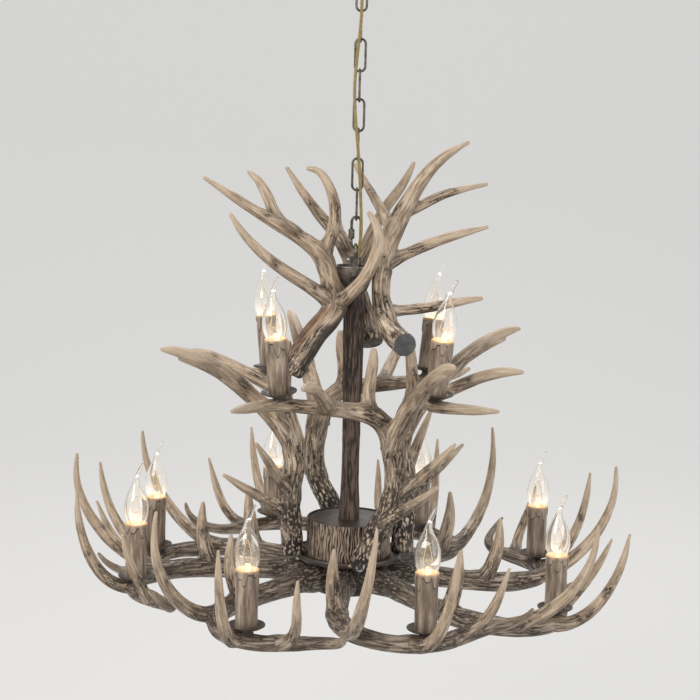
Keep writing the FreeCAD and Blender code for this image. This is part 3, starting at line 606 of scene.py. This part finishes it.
def turned_form(profile, steps, cuts=0):
    """Spin a closed profile of radii and heights about the upright axis, with cuts in its first edge."""
    bm = bmesh.new()
    points = [bm.verts.new((radius, 0, height)) for radius, height in profile]
    edges = [bm.edges.new(pair) for pair in zip(points, points[1:] + points[:1])]
    if cuts:
        bmesh.ops.subdivide_edges(bm, edges=edges[:1], cuts=cuts)
    bmesh.ops.spin(bm, geom=bm.verts[:] + bm.edges[:], cent=(0, 0, 0), axis=(0, 0, 1), dvec=(0, 0, 0),
                   angle=2 * math.pi, steps=steps, use_merge=True)
    bmesh.ops.remove_doubles(bm, verts=bm.verts, dist=1e-6)
    bmesh.ops.recalc_face_normals(bm, faces=bm.faces)
    return bm


def furrow(place, girth, stretch, seed):
    """Ridged noise round an upright form: near 0 in a furrow, 1 on a ridge."""
    angle = math.atan2(place.y, place.x)
    spot = Vector((math.cos(angle) * girth, math.sin(angle) * girth, place.z * stretch + seed))
    coarse = abs(noise.noise(spot))
    fine = abs(noise.noise(spot * 2.3 + Vector((7, 3, 1))))
    return min(1.0, 1.6 * (0.65 * coarse + 0.35 * fine) + 0.1)


# %% Bark finish


def bark_finish(name, furrow_colour, middle, ridge_colour, girth, stretch):
    tree, surface, material = finish(name, Roughness=0.68)
    spot = object_spot(tree)
    fibres = clouds(tree, stretched(tree, spot, girth, girth, stretch), 1.0, 6.0, 0.7)
    patches = maths(tree, "SUBTRACT", clouds(tree, spot, 45.0, 2.0), 0.5)
    level = maths(tree, "ADD", times(tree, attribute(tree, "ridge"), 0.55), times(tree, fibres, 0.45))
    level = maths(tree, "ADD", level, times(tree, patches, 0.3))
    colour = ramp(tree, level, (0.36, furrow_colour), (0.46, middle), (0.60, ridge_colour))
    drive(tree, surface, Base_Color=colour)
    relief(tree, surface, fibres, 0.7, 0.0012)
    return material


column_bark = bark_finish("column_bark", (0.008, 0.005, 0.004), (0.060, 0.038, 0.028), (0.17, 0.117, 0.088),
                          420, 48)
drum_bark = bark_finish("drum_bark", (0.004, 0.003, 0.002), (0.105, 0.074, 0.054), (0.41, 0.315, 0.235),
                        300, 60)

# %% Column
column_foot, column_head = [corner.z for corner in corners("column_tube")]
foot_radius, waist_radius, head_radius, bore = 0.0160, 0.0133, 0.0150, 0.0082
bark_depth, knot_height = 0.0013, 0.0005
column_radii = np.polyfit((0, 1 / 3, 2 / 3, 1), (foot_radius, waist_radius, head_radius, head_radius), 3)
column = turned_form([(foot_radius, column_foot), (head_radius, column_head), (bore, column_head),
                      (bore, column_foot)], 112, 130)
ridge_layer = column.verts.layers.float.new("ridge")
for vert in column.verts:
    if vert.co.xy.length > bore + 0.001:
        share = (vert.co.z - column_foot) / (column_head - column_foot)
        ridge = furrow(vert.co, 5.2, 24, 0)
        knot = noise.noise(Vector((vert.co.x * 30, vert.co.y * 30, vert.co.z * 14)))
        radius = float(np.polyval(column_radii, share)) - bark_depth * (1 - ridge) + knot_height * knot
        vert.co.xy = vert.co.xy.normalized() * radius
        vert[ridge_layer] = ridge
piece("column_bark", column, column_bark, "fixture", "column_tube", slot="bark_resin", smooth_angle=50)

# %% Drum
drum_low, drum_high = corners("drum_shell")
drum_outside = drum_high.x
drum_inside = corners("drum_lid")[1].x + 0.0002
drum_ridges, drum_furrow_depth, rim_height, rim_swell = 104, 0.0022, 0.004, 0.0006
drum = turned_form([(drum_outside, drum_low.z), (drum_outside - 0.001, drum_high.z),
                    (drum_inside, drum_high.z), (drum_inside, drum_low.z)], 640, 34)
ridge_layer = drum.verts.layers.float.new("ridge")
for vert in drum.verts:
    if vert.co.xy.length > drum_inside + 0.0005:
        angle = math.atan2(vert.co.y, vert.co.x)
        sway = noise.noise(Vector((math.cos(angle) * 9, math.sin(angle) * 9, vert.co.z * 45)))
        ridge = 0.24 + 0.22 * math.cos(drum_ridges * angle + 7 * sway)
        ridge += 0.55 * furrow(vert.co, 19, 42, 5)
        radius = vert.co.xy.length - drum_furrow_depth * (1 - ridge)
        if vert.co.z > drum_high.z - rim_height:
            radius += rim_swell
        vert.co.xy = vert.co.xy.normalized() * radius
        vert[ridge_layer] = ridge
piece("drum_bark", drum, drum_bark, "fixture", "drum_shell", slot="bark_resin", smooth_angle=50)

# %% [markdown]
# ## Metal finishes
# The plates and the candle fittings wear a satin taupe paint, and the cup shows worn metal. The chain is dark
# bronze over hammered steel. Screws, rod and bracket are zinc, the bulb caps brass and the lamp holders ivory
# plastic. Colour and gloss are broken up in each finish, so that no large face looks flat.

# %% Metal finishes


def metal_finish(name, dark, light, shine, metallic, patch_scale, dents, dent_depth):
    tree, surface, material = finish(name, Metallic=metallic)
    spot = object_spot(tree)
    patches = clouds(tree, spot, patch_scale, 5.0, 0.6)
    low, high = shine
    drive(tree, surface, Base_Color=ramp(tree, patches, (0.32, dark), (0.68, light)),
          Roughness=ramp(tree, patches, (0.3, high), (0.7, low)))
    relief(tree, surface, clouds(tree, spot, dents, 2.0), 0.4, dent_depth)
    return material


taupe_paint = metal_finish("taupe_paint", (0.040, 0.029, 0.023), (0.088, 0.066, 0.052), (0.32, 0.46), 0.3,
                           60, 240, 0.0004)
dark_bronze = metal_finish("dark_bronze", (0.045, 0.039, 0.033), (0.20, 0.175, 0.145), (0.26, 0.44), 0.85,
                           190, 330, 0.0008)
worn_pewter = metal_finish("worn_pewter", (0.085, 0.075, 0.066), (0.30, 0.275, 0.25), (0.24, 0.42), 0.8,
                           130, 300, 0.0005)
zinc_plate = metal_finish("zinc_plate", (0.42, 0.42, 0.43), (0.60, 0.60, 0.61), (0.28, 0.42), 1.0,
                          120, 400, 0.0002)
cap_brass = metal_finish("cap_brass", (0.52, 0.38, 0.16), (0.72, 0.55, 0.26), (0.2, 0.34), 1.0,
                         150, 300, 0.0002)
holder_ivory = metal_finish("holder_ivory", (0.66, 0.63, 0.56), (0.74, 0.71, 0.65), (0.4, 0.55), 0.0,
                            80, 300, 0.0002)

# %% Painted and plated nodes
painted = {
    "drum_lid": taupe_paint, "base_plate": taupe_paint, "ceiling_bracket": zinc_plate,
    "canopy_stem": zinc_plate, "stem_nut": zinc_plate, "tie_rod": zinc_plate, "loop_set_screw": zinc_plate,
    "antler_screws": zinc_plate, "lamp_holders": holder_ivory, "bulb_caps": cap_brass,
}
for name, material in painted.items():
    materials = nodes[name].data.materials
    materials.clear()
    materials.append(material)

smooth_nodes = {"canopy": ("ceiling", taupe_paint, "taupe_metal"),
                "column_cup": ("fixture", worn_pewter, "taupe_metal"),
                "finial_nut": ("fixture", taupe_paint, "taupe_metal"),
                "canopy_loop": ("ceiling", dark_bronze, "bronze_metal"),
                "column_loop": ("fixture", dark_bronze, "bronze_metal"),
                "quick_link": ("quick_link", dark_bronze, "bronze_metal")}
for name, (body, material, slot) in smooth_nodes.items():
    piece(name + "_smooth", merged_copy(name), material, body, name, slot=slot, smooth_angle=38)
print("painted", len(painted), "smoothed", len(smooth_nodes))

# %% Rolled lip of the cup
lip_radius = 0.0014
lip_middle = corners("column_cup")[1].x - 0.0008
lip = turned_form([(lip_middle + lip_radius * math.cos(angle), cup_rim + lip_radius * math.sin(angle))
                   for angle in np.linspace(0.5 * math.pi, 2.5 * math.pi, 14, endpoint=False)], 72)
piece("cup_lip", lip, worn_pewter, "fixture", slot="taupe_metal")

# %% Dish with a rolled lip
dish_low, dish_high = corners("hub_dish")
brim, rod_hole = dish_high.x, 0.0051
dish = turned_form([(rod_hole, dish_low.z), (brim - 0.0015, dish_low.z), (brim, dish_low.z + 0.0015),
                    (brim, dish_high.z + 0.0026), (brim - 0.0008, dish_high.z + 0.0034),
                    (brim - 0.0021, dish_high.z + 0.0032), (brim - 0.0029, dish_high.z + 0.0012),
                    (brim - 0.0046, dish_high.z), (rod_hole, dish_high.z)], 120)
piece("dish_pan", dish, taupe_paint, "fixture", "hub_dish", slot="taupe_metal", smooth_angle=45)

# %% [markdown]
# ## Chain
# Each link is a round wire bent to an oval and hammered. A ring of points is drawn out along the leg, turned
# through the bow, drawn back and turned again, which is how the wire itself is bent. Small dents are pushed
# into the net. The quick link below them is closed by a small knurled sleeve.

# %% Chain links
link_count, link_length, link_width, link_wire = 8, 0.049, 0.018, 0.0034
dent_depth = 0.00016


def verts_in(items):
    return [item for item in items if isinstance(item, bmesh.types.BMVert)]


def edges_round(bm, ring):
    return [edge for edge in bm.edges if edge.verts[0] in ring and edge.verts[1] in ring]


def oval_link(length, width, wire):
    bm = bmesh.new()
    half, rise, leg_steps = (width - wire) / 2, (length - width) / 2, 8
    start = Matrix.Translation((half, 0, -rise))
    ring = bmesh.ops.create_circle(bm, segments=16, radius=wire / 2, matrix=start)["verts"]
    for side in (1, -1):
        for step in range(leg_steps):
            ring = verts_in(bmesh.ops.extrude_edge_only(bm, edges=edges_round(bm, ring))["geom"])
            bmesh.ops.translate(bm, verts=ring, vec=(0, 0, side * 2 * rise / leg_steps))
        bow = bmesh.ops.spin(bm, geom=ring + edges_round(bm, ring), cent=(0, 0, side * rise), axis=(0, 1, 0),
                             dvec=(0, 0, 0), angle=-math.pi, steps=14)
        ring = verts_in(bow["geom_last"])
    bmesh.ops.remove_doubles(bm, verts=bm.verts, dist=1e-5)
    bmesh.ops.recalc_face_normals(bm, faces=bm.faces)
    return bm


for k in range(link_count):
    name = "chain_link_%d" % (k + 1)
    low, high = corners(name)
    link = oval_link(link_length, link_width, link_wire)
    for vert in link.verts:
        vert.co += vert.normal * dent_depth * noise.noise(vert.co * 260 + Vector((k * 5, 0, 0)))
    turn = Matrix.Rotation(math.radians(90 * (k % 2)), 4, "Z")
    bmesh.ops.transform(link, matrix=Matrix.Translation((low + high) / 2) @ turn, verts=link.verts)
    piece(name + "_hammered", link, dark_bronze, "link_%d" % (k + 1), name, slot="bronze_metal")

# %% Quick link sleeve
low, high = corners("quick_link_sleeve")
sleeve_radius, sleeve_bore, sleeve_edge = 0.0045, 0.00206, 0.0009
knurls_round, knurls_along, knurl_depth = 18, 21, 0.00018
sleeve = turned_form([(sleeve_radius, low.z + sleeve_edge), (sleeve_radius, high.z - sleeve_edge),
                      (sleeve_radius - sleeve_edge, high.z), (sleeve_bore, high.z), (sleeve_bore, low.z),
                      (sleeve_radius - sleeve_edge, low.z)], 36, 20)
for vert in sleeve.verts:
    if vert.co.xy.length > sleeve_radius - 1e-5:
        angle = math.atan2(vert.co.y, vert.co.x)
        share = (vert.co.z - low.z) / (high.z - low.z)
        knurl = math.cos(knurls_round * angle) * math.cos(math.pi * knurls_along * share)
        vert.co.xy = vert.co.xy.normalized() * (sleeve_radius - knurl_depth * (1 - knurl))
bmesh.ops.translate(sleeve, verts=sleeve.verts, vec=((low.x + high.x) / 2, (low.y + high.y) / 2, 0))
piece("knurled_sleeve", sleeve, dark_bronze, "quick_link_sleeve", "quick_link_sleeve", slot="bronze_metal",
      smooth_angle=40)

# %% [markdown]
# ## Hub
# Between the roots of the lower antlers the hub shows as a knobbly, stained ring. The eight-sided block of
# the frame is remeshed and roughened, and gets pebbles and stain like those of an antler's root.

# %% Hub finish and form
tree, surface, pebbled_resin = finish("pebbled_resin", Roughness=0.55)
spot = object_spot(tree)
pebbles = scattered(tree, spot, 230.0)
knobs = ramp(tree, pebbles, (0.1, (0.36, 0.29, 0.215)), (0.34, (0.085, 0.062, 0.044)),
             (0.5, (0.008, 0.006, 0.005)))
shade_and_stain = ramp(tree, clouds(tree, spot, 35.0, 4.0), (0.4, 0), (0.62, 0.85))
drive(tree, surface, Base_Color=mixed(tree, shade_and_stain, knobs, (0.02, 0.015, 0.011)))
relief(tree, surface, maths(tree, "SUBTRACT", 1.0, pebbles), 0.8, 0.0022)

fine_hub, quick_hub, knob_height, bark_height = 0.0022, 0.0035, 0.0007, 0.004
hub = even_net("hub_block", fine_hub, 2)
for vert in hub.vertices:
    bark = furrow(vert.co, 14, 30, 9)
    outward = max(vert.normal.xy.length - 0.5, 0) * 2
    knob = noise.noise(vert.co * 190)
    vert.co += vert.normal * (knob_height * knob + bark_height * outward * (bark - 0.2))
piece("hub_knobs", hub, pebbled_resin, "fixture", "hub_block", slot="antler_resin")

# %% [markdown]
# ## Candle lights
# Twelve alike: a short neck in the antler, a saucer to catch wax, a sleeve that looks like a candle with wax
# runs, and a flame bulb. One of each is turned and then copied to all twelve seats. The lower ones stand
# upright, and the upper ones lean out by seven degrees, because their tines do.

# %% Seats of the candles
lower_seat = Vector((0.002, -0.3195, hub_plane - 0.00723))
upper_seat = Vector((-0.104, -0.118, dish_top + 0.2475))
upper_lean = math.radians(7)
seats = []
for turn, droop in lower_turns:
    seats.append(Matrix.Translation(placed(droop, lower_pivot, turn, 0) @ lower_seat))
for turn, droop in upper_turns:
    foot = placed(droop, upper_pivot, turn, 0) @ upper_seat
    bearing = math.atan2(foot.y, foot.x) + math.pi / 2
    lean = Matrix.Rotation(upper_lean, 4, (math.cos(bearing), math.sin(bearing), 0))
    seats.append(Matrix.Translation(foot) @ lean)


def at_every_seat(name, template, material, *stands_for, slot, shape=None, smooth_angle=None):
    """Copy one form to the twelve seats as one piece."""
    model = mesh_of(name + "_model", template)
    bm = bmesh.new()
    for number, seat in enumerate(seats):
        one = bmesh.new()
        one.from_mesh(model)
        if shape:
            shape(one, number)
        bmesh.ops.transform(one, matrix=seat, verts=one.verts)
        single = mesh_of(name + "_single", one)
        bm.from_mesh(single)
        bpy.data.meshes.remove(single)
    piece(name, bm, material, "fixture", *stands_for, slot=slot, smooth_angle=smooth_angle)
    bpy.data.meshes.remove(model)


print("seats", len(seats))

# %% Necks and saucers
neck = turned_form(drawn(0, (10, 0), (10, 2), (8.6, 3.4), (8.2, 5.2), (9.2, 7), (10, 8), (4.2, 8),
                         (4.2, 0)), 40)
at_every_seat("turned_necks", neck, taupe_paint, "candle_necks", slot="taupe_metal", smooth_angle=60)
saucer = turned_form(drawn(0, (4.1, 8), (14, 8), (16.5, 8.3), (20.5, 9.9), (23.8, 11.8), (24.7, 12.4),
                           (25, 13.3), (24.7, 14.1), (23.9, 14.3), (23, 13.8), (20, 11.7), (16.5, 10),
                           (15, 9.6), (4.1, 9.6)), 56)
at_every_seat("wax_saucers", saucer, taupe_paint, "drip_plates", slot="taupe_metal", smooth_angle=50)

# %% [markdown]
# ### Candle sleeves
# The runs of wax are a thin swelling that hangs from the rim in rounded tongues of different length. Every
# sleeve draws its own tongues from a seeded generator. The rim and the inside carry painted light from the
# bulb, an emission on the sleeve.

# %% Wax finish
# The emission is painted light from the bulb, laid on the rim and the inside by an attribute.
tree, surface, wax_finish = finish("candle_wax", Roughness=0.36, Emission_Color=(1.0, 0.52, 0.18))
run = attribute(tree, "run")
streaks = clouds(tree, stretched(tree, object_spot(tree), 150, 150, 17), 1.0, 6.0, 0.65)
body_colour = ramp(tree, streaks, (0.33, (0.095, 0.066, 0.046)), (0.5, (0.25, 0.185, 0.134)),
                   (0.65, (0.48, 0.38, 0.295)))
run_colour = ramp(tree, streaks, (0.33, (0.17, 0.124, 0.088)), (0.65, (0.48, 0.38, 0.295)))
covered = ramp(tree, run, (0.48, 0), (0.53, 1))
outline = ramp(tree, run, (0.35, 0), (0.41, 1), (0.49, 1), (0.55, 0))
waxed = mixed(tree, covered, body_colour, run_colour)
drive(tree, surface, Base_Color=mixed(tree, outline, waxed, (0.022, 0.015, 0.011)),
      Emission_Strength=attribute(tree, "painted_bulb_light"))
relief(tree, surface, maths(tree, "ADD", times(tree, streaks, 0.4), covered), 0.5, 0.0008)

# %% Sleeves with wax runs
candle_foot, candle_top = 0.0096, 0.0886
candle_radius, candle_inside = 0.0153, 0.0135
tongues, shortest_run, wax_thickness = 8, 0.0045, 0.0011
draws = np.random.default_rng(7)


def wax_runs(bm, number):
    """Push rounded tongues of wax out of one sleeve and note where they and the painted light from the bulb
    are.
    """
    run_layer = bm.verts.layers.float.new("run")
    bulb_light_layer = bm.verts.layers.float.new("painted_bulb_light")
    middles = (np.arange(tongues) + draws.uniform(-0.25, 0.25, tongues)) * 2 * math.pi / tongues
    widths = draws.uniform(0.24, 0.40, tongues)
    lengths = draws.uniform(0.008, 0.027, tongues)
    for vert in bm.verts:
        depth = candle_top - vert.co.z
        angle = math.atan2(vert.co.y, vert.co.x)
        off = (angle - middles + math.pi) % (2 * math.pi) - math.pi
        inside = np.clip(1 - (off / widths) ** 2, 0, 1)
        reach = max(float((lengths * np.sqrt(inside)).max()), shortest_run)
        if vert.co.xy.length > candle_inside + 0.0008:
            vert[run_layer] = min(max(0.5 + (reach - depth) / 0.012, 0), 1)
            # painted light from the bulb: a glow at the rim
            vert[bulb_light_layer] = 0.5 * math.exp(-depth / 0.0011)
            mask = float(smoothstep(-0.0008, 0.0014, reach - depth))
            swell = Vector((math.cos(angle) * 2, math.sin(angle) * 2, vert.co.z * 40 + number))
            wobble = 0.00035 * noise.noise(swell)
            radius = vert.co.xy.length + wax_thickness * mask - 0.0004 + wobble
            vert.co.xy = vert.co.xy.normalized() * radius
        else:
            # painted light from the bulb on the inside, fading downwards
            vert[bulb_light_layer] = 0.9 * math.exp(-depth / 0.018)


sleeve = turned_form([(candle_radius, candle_foot), (candle_radius, candle_top - 0.001),
                      (candle_radius - 0.0007, candle_top), (candle_inside, candle_top),
                      (candle_inside, candle_top - 0.006), (candle_inside, candle_top - 0.024),
                      (candle_inside, candle_foot)], 96, 64)
at_every_seat("candle_sleeves_wax", sleeve, wax_finish, "candle_sleeves", slot="candle_plastic",
              shape=wax_runs, smooth_angle=70)

# %% [markdown]
# ### Flame bulbs
# A flame bulb is blown thin, drawn to a long tail and bent at the tip. Real glass has two walls, so the
# profile goes up the outside and down the inside. Inside stands a glass stem with two wires and the filament
# that glows. The stem carries a painted glow, an emission for the filament's light on it. A faint haze of
# light on the glass round the filament stands for its glare.

# %% Bulb finishes
tree, surface, clear_glass = finish("clear_glass", Roughness=0.0, IOR=1.45, Transmission_Weight=1.0,
                                    Base_Color=(1.0, 0.985, 0.96), Emission_Color=(1.0, 0.86, 0.66))
drive(tree, surface, Emission_Strength=attribute(tree, "haze"))
# The stem's emission is painted light from the filament.
tree, surface, stem_glass_painted_glow = finish("stem_glass_painted_glow", Roughness=0.08, IOR=1.45, Transmission_Weight=0.7,
                                   Base_Color=(1.0, 0.9, 0.72), Emission_Color=(1.0, 0.62, 0.26),
                                   Emission_Strength=0.9)
tree, surface, filament_glow = finish("filament_glow", Roughness=0.4, Base_Color=(1.0, 0.7, 0.35),
                                      Emission_Color=(1.0, 0.74, 0.42))
drive(tree, surface, Emission_Strength=times(tree, attribute(tree, "heat"), 30.0))

# %% Glass
cap_top, glass_length, glass_radius, glass_wall, tip_bend = 0.0666, 0.107, 0.0172, 0.0009, 0.009
flame = [(0, 0.37, 0), (0.1, 0.53, 0), (0.2, 0.76, 0), (0.3, 0.94, 0), (0.41, 1, 0), (0.52, 0.9, 0),
         (0.62, 0.66, -0.02), (0.72, 0.36, -0.06), (0.82, 0.22, 0.1), (0.91, 0.17, 0.48), (1, 0.1, 1)]
flame_line = smooth_line([(bend, 0, rise, radius) for rise, radius, bend in flame], 4)[0] * 1000
rises, widths, bends = flame_line[:, 2], flame_line[:, 3], flame_line[:, 0]
outside = [(radius * glass_radius, cap_top + rise * glass_length) for rise, radius in zip(rises, widths)]
tip_rise = outside[-1][1]
outside += [(0.0008, tip_rise + 0.0009), (0, tip_rise + 0.0011)]
inside = [(radius - glass_wall, rise) for radius, rise in outside if radius > 4.2 * glass_wall]
inside_end = (0, inside[-1][1] + 0.003)
glass = turned_form(outside + [inside_end] + inside[::-1], 40)
haze_layer = glass.verts.layers.float.new("haze")
for vert in glass.verts:
    share = (vert.co.z - cap_top) / glass_length
    vert[haze_layer] = 0.01 + 0.09 * math.exp(-((share - 0.24) / 0.13) ** 2)
    vert.co.x += tip_bend * float(np.interp(share, rises, bends))
at_every_seat("flame_bulbs", glass, clear_glass, "bulb_glasses", slot="bulb_glass")

# %% Stem
stem = turned_form(drawn(cap_top, (6.2, 0.5), (4, 5), (2.6, 11), (2.4, 22), (3.1, 25), (2.2, 28.5), (0, 29.5),
                         (0, 0.5)), 24)
at_every_seat("bulb_stems", stem, stem_glass_painted_glow, "bulb_mounts", slot="filament_glass")

# %% Filament


def wire_mesh(points, radius):
    curve = round_wire("wire", points, radius, 2, 5)
    carrier = bpy.data.objects.new("wire", curve)
    mesh = bpy.data.meshes.new_from_object(carrier)
    bpy.data.objects.remove(carrier)
    bpy.data.curves.remove(curve)
    return mesh


stem_top = cap_top + 0.027
foot = stem_top + 0.010
apex = cap_top + 0.060
wires = bmesh.new()
for side in (-1, 1):
    lead = [(side * 0.0012, 0, stem_top - 0.004), (side * 0.0024, 0, stem_top + 0.002),
            (side * 0.0062, 0, stem_top + 0.006), (side * 0.0060, 0, foot)]
    wires.from_mesh(wire_mesh(lead, 0.00035))
hairpin = [(-0.0060, 0, foot), (-0.0045, 0.0008, stem_top + 0.020), (-0.0012, 0, apex), (0, 0, apex + 0.001),
           (0.0012, 0, apex), (0.0045, -0.0008, stem_top + 0.020), (0.0060, 0, foot)]
wires.from_mesh(wire_mesh(hairpin, 0.0005))
coil = [(0.0056 * math.cos(a) * (0.4 + 0.6 * abs(math.cos(a / 2))), 0.0014 * math.sin(6 * a),
         stem_top + 0.0105 + 0.0012 * math.cos(6 * a)) for a in np.linspace(0, math.pi, 40)]
wires.from_mesh(wire_mesh(coil, 0.00045))
heat_layer = wires.verts.layers.float.new("heat")
for vert in wires.verts:
    rise = vert.co.z - foot
    vert[heat_layer] = 0.1 if rise < -0.0035 else 0.25 + 0.75 * math.exp(-max(rise, 0) / 0.012)
at_every_seat("filaments", wires, filament_glow, slot="filament_glass")

# %% [markdown]
# ## Stage and light
# A pale sweep runs from the floor up behind the light, so that no edge shows. Three soft lamps, at the front
# left, at the right and above the back, keep the forms readable, and a dim sky fills the rest. Sweep and sky
# look paler to the camera than they shine on the object, so that the background stays light and even.

# %% Sweep
floor_height, half_width, front, bend_start, bend_radius, wall_rise = -1.35, 7.0, -6.0, 2.6, 2.0, 4.0
sweep = bmesh.new()
row = [sweep.verts.new((-half_width, depth, floor_height)) for depth in (front, bend_start)]
sweep.edges.new(row)
bend_middle = (-half_width, bend_start, floor_height + bend_radius)
bend = bmesh.ops.spin(sweep, geom=row[1:], cent=bend_middle, axis=(1, 0, 0), dvec=(0, 0, 0),
                      angle=math.pi / 2, steps=16)
raised = bmesh.ops.extrude_vert_indiv(sweep, verts=verts_in(bend["geom_last"]))["verts"]
bmesh.ops.translate(sweep, verts=raised, vec=(0, 0, wall_rise))
side = verts_in(bmesh.ops.extrude_edge_only(sweep, edges=sweep.edges[:])["geom"])
bmesh.ops.translate(sweep, verts=side, vec=(2 * half_width, 0, 0))
bmesh.ops.recalc_face_normals(sweep, faces=sweep.faces)
backdrop = bpy.data.objects.new("pale_sweep", mesh_of("pale_sweep", sweep))
backdrop.data.polygons.foreach_set("use_smooth", [True] * len(backdrop.data.polygons))
scene.collection.objects.link(backdrop)
print("sweep faces", len(backdrop.data.polygons))

# %% Paper of the sweep


def seen_directly(tree):
    """1 for rays from the camera, also by way of gloss or glass, and 0 for light on the object."""
    sight = shader(tree, "LightPath").outputs
    seen = maths(tree, "MAXIMUM", sight["Is Camera Ray"], sight["Is Glossy Ray"])
    return maths(tree, "MAXIMUM", seen, sight["Is Transmission Ray"])


def blended(tree, share, first, second, output):
    both = shader(tree, "MixShader", {"Fac": share})
    tree.links.new(first, both.inputs[1])
    tree.links.new(second, both.inputs[2])
    tree.links.new(both.outputs["Shader"], tree.nodes[output].inputs["Surface"])


pale = (0.82, 0.815, 0.80)
tree, surface, paper = finish("pale_paper", Roughness=0.9, Base_Color=(0.80, 0.79, 0.775))
bright_paper = shader(tree, "Emission", {"Color": pale, "Strength": 1.0}).outputs["Emission"]
blended(tree, times(tree, seen_directly(tree), 0.6), surface.outputs["BSDF"], bright_paper, "Material Output")
backdrop.data.materials.append(paper)

# %% Lamps and sky


def softbox(name, place, size, power, colour):
    lamp = bpy.data.lights.new(name, "AREA")
    lamp.size = size
    lamp.energy = power
    lamp.color = colour
    box = bpy.data.objects.new(name, lamp)
    scene.collection.objects.link(box)
    box.location = place
    box.rotation_euler = (aim - box.location).to_track_quat("-Z", "Y").to_euler()


softbox("key", Vector((-1.9, -2.3, 0.9)), 1.6, 62, (1.0, 0.97, 0.93))
softbox("fill", Vector((2.4, -1.7, -0.2)), 1.8, 24, (0.95, 0.97, 1.0))
softbox("top", Vector((0.3, 1.6, 1.5)), 1.6, 40, (1.0, 0.98, 0.95))
world = bpy.data.worlds.new("soft_sky")
world.use_nodes = True
tree = world.node_tree
sky = tree.nodes["Background"]
drive(tree, sky, Color=(0.86, 0.88, 0.90), Strength=0.42)
pale_sky = shader(tree, "Background", {"Color": pale, "Strength": 1.04}).outputs["Background"]
blended(tree, seen_directly(tree), sky.outputs["Background"], pale_sky, "World Output")
scene.world = world
scene.view_settings.view_transform = "Standard"
print("lamps", len(bpy.data.lights))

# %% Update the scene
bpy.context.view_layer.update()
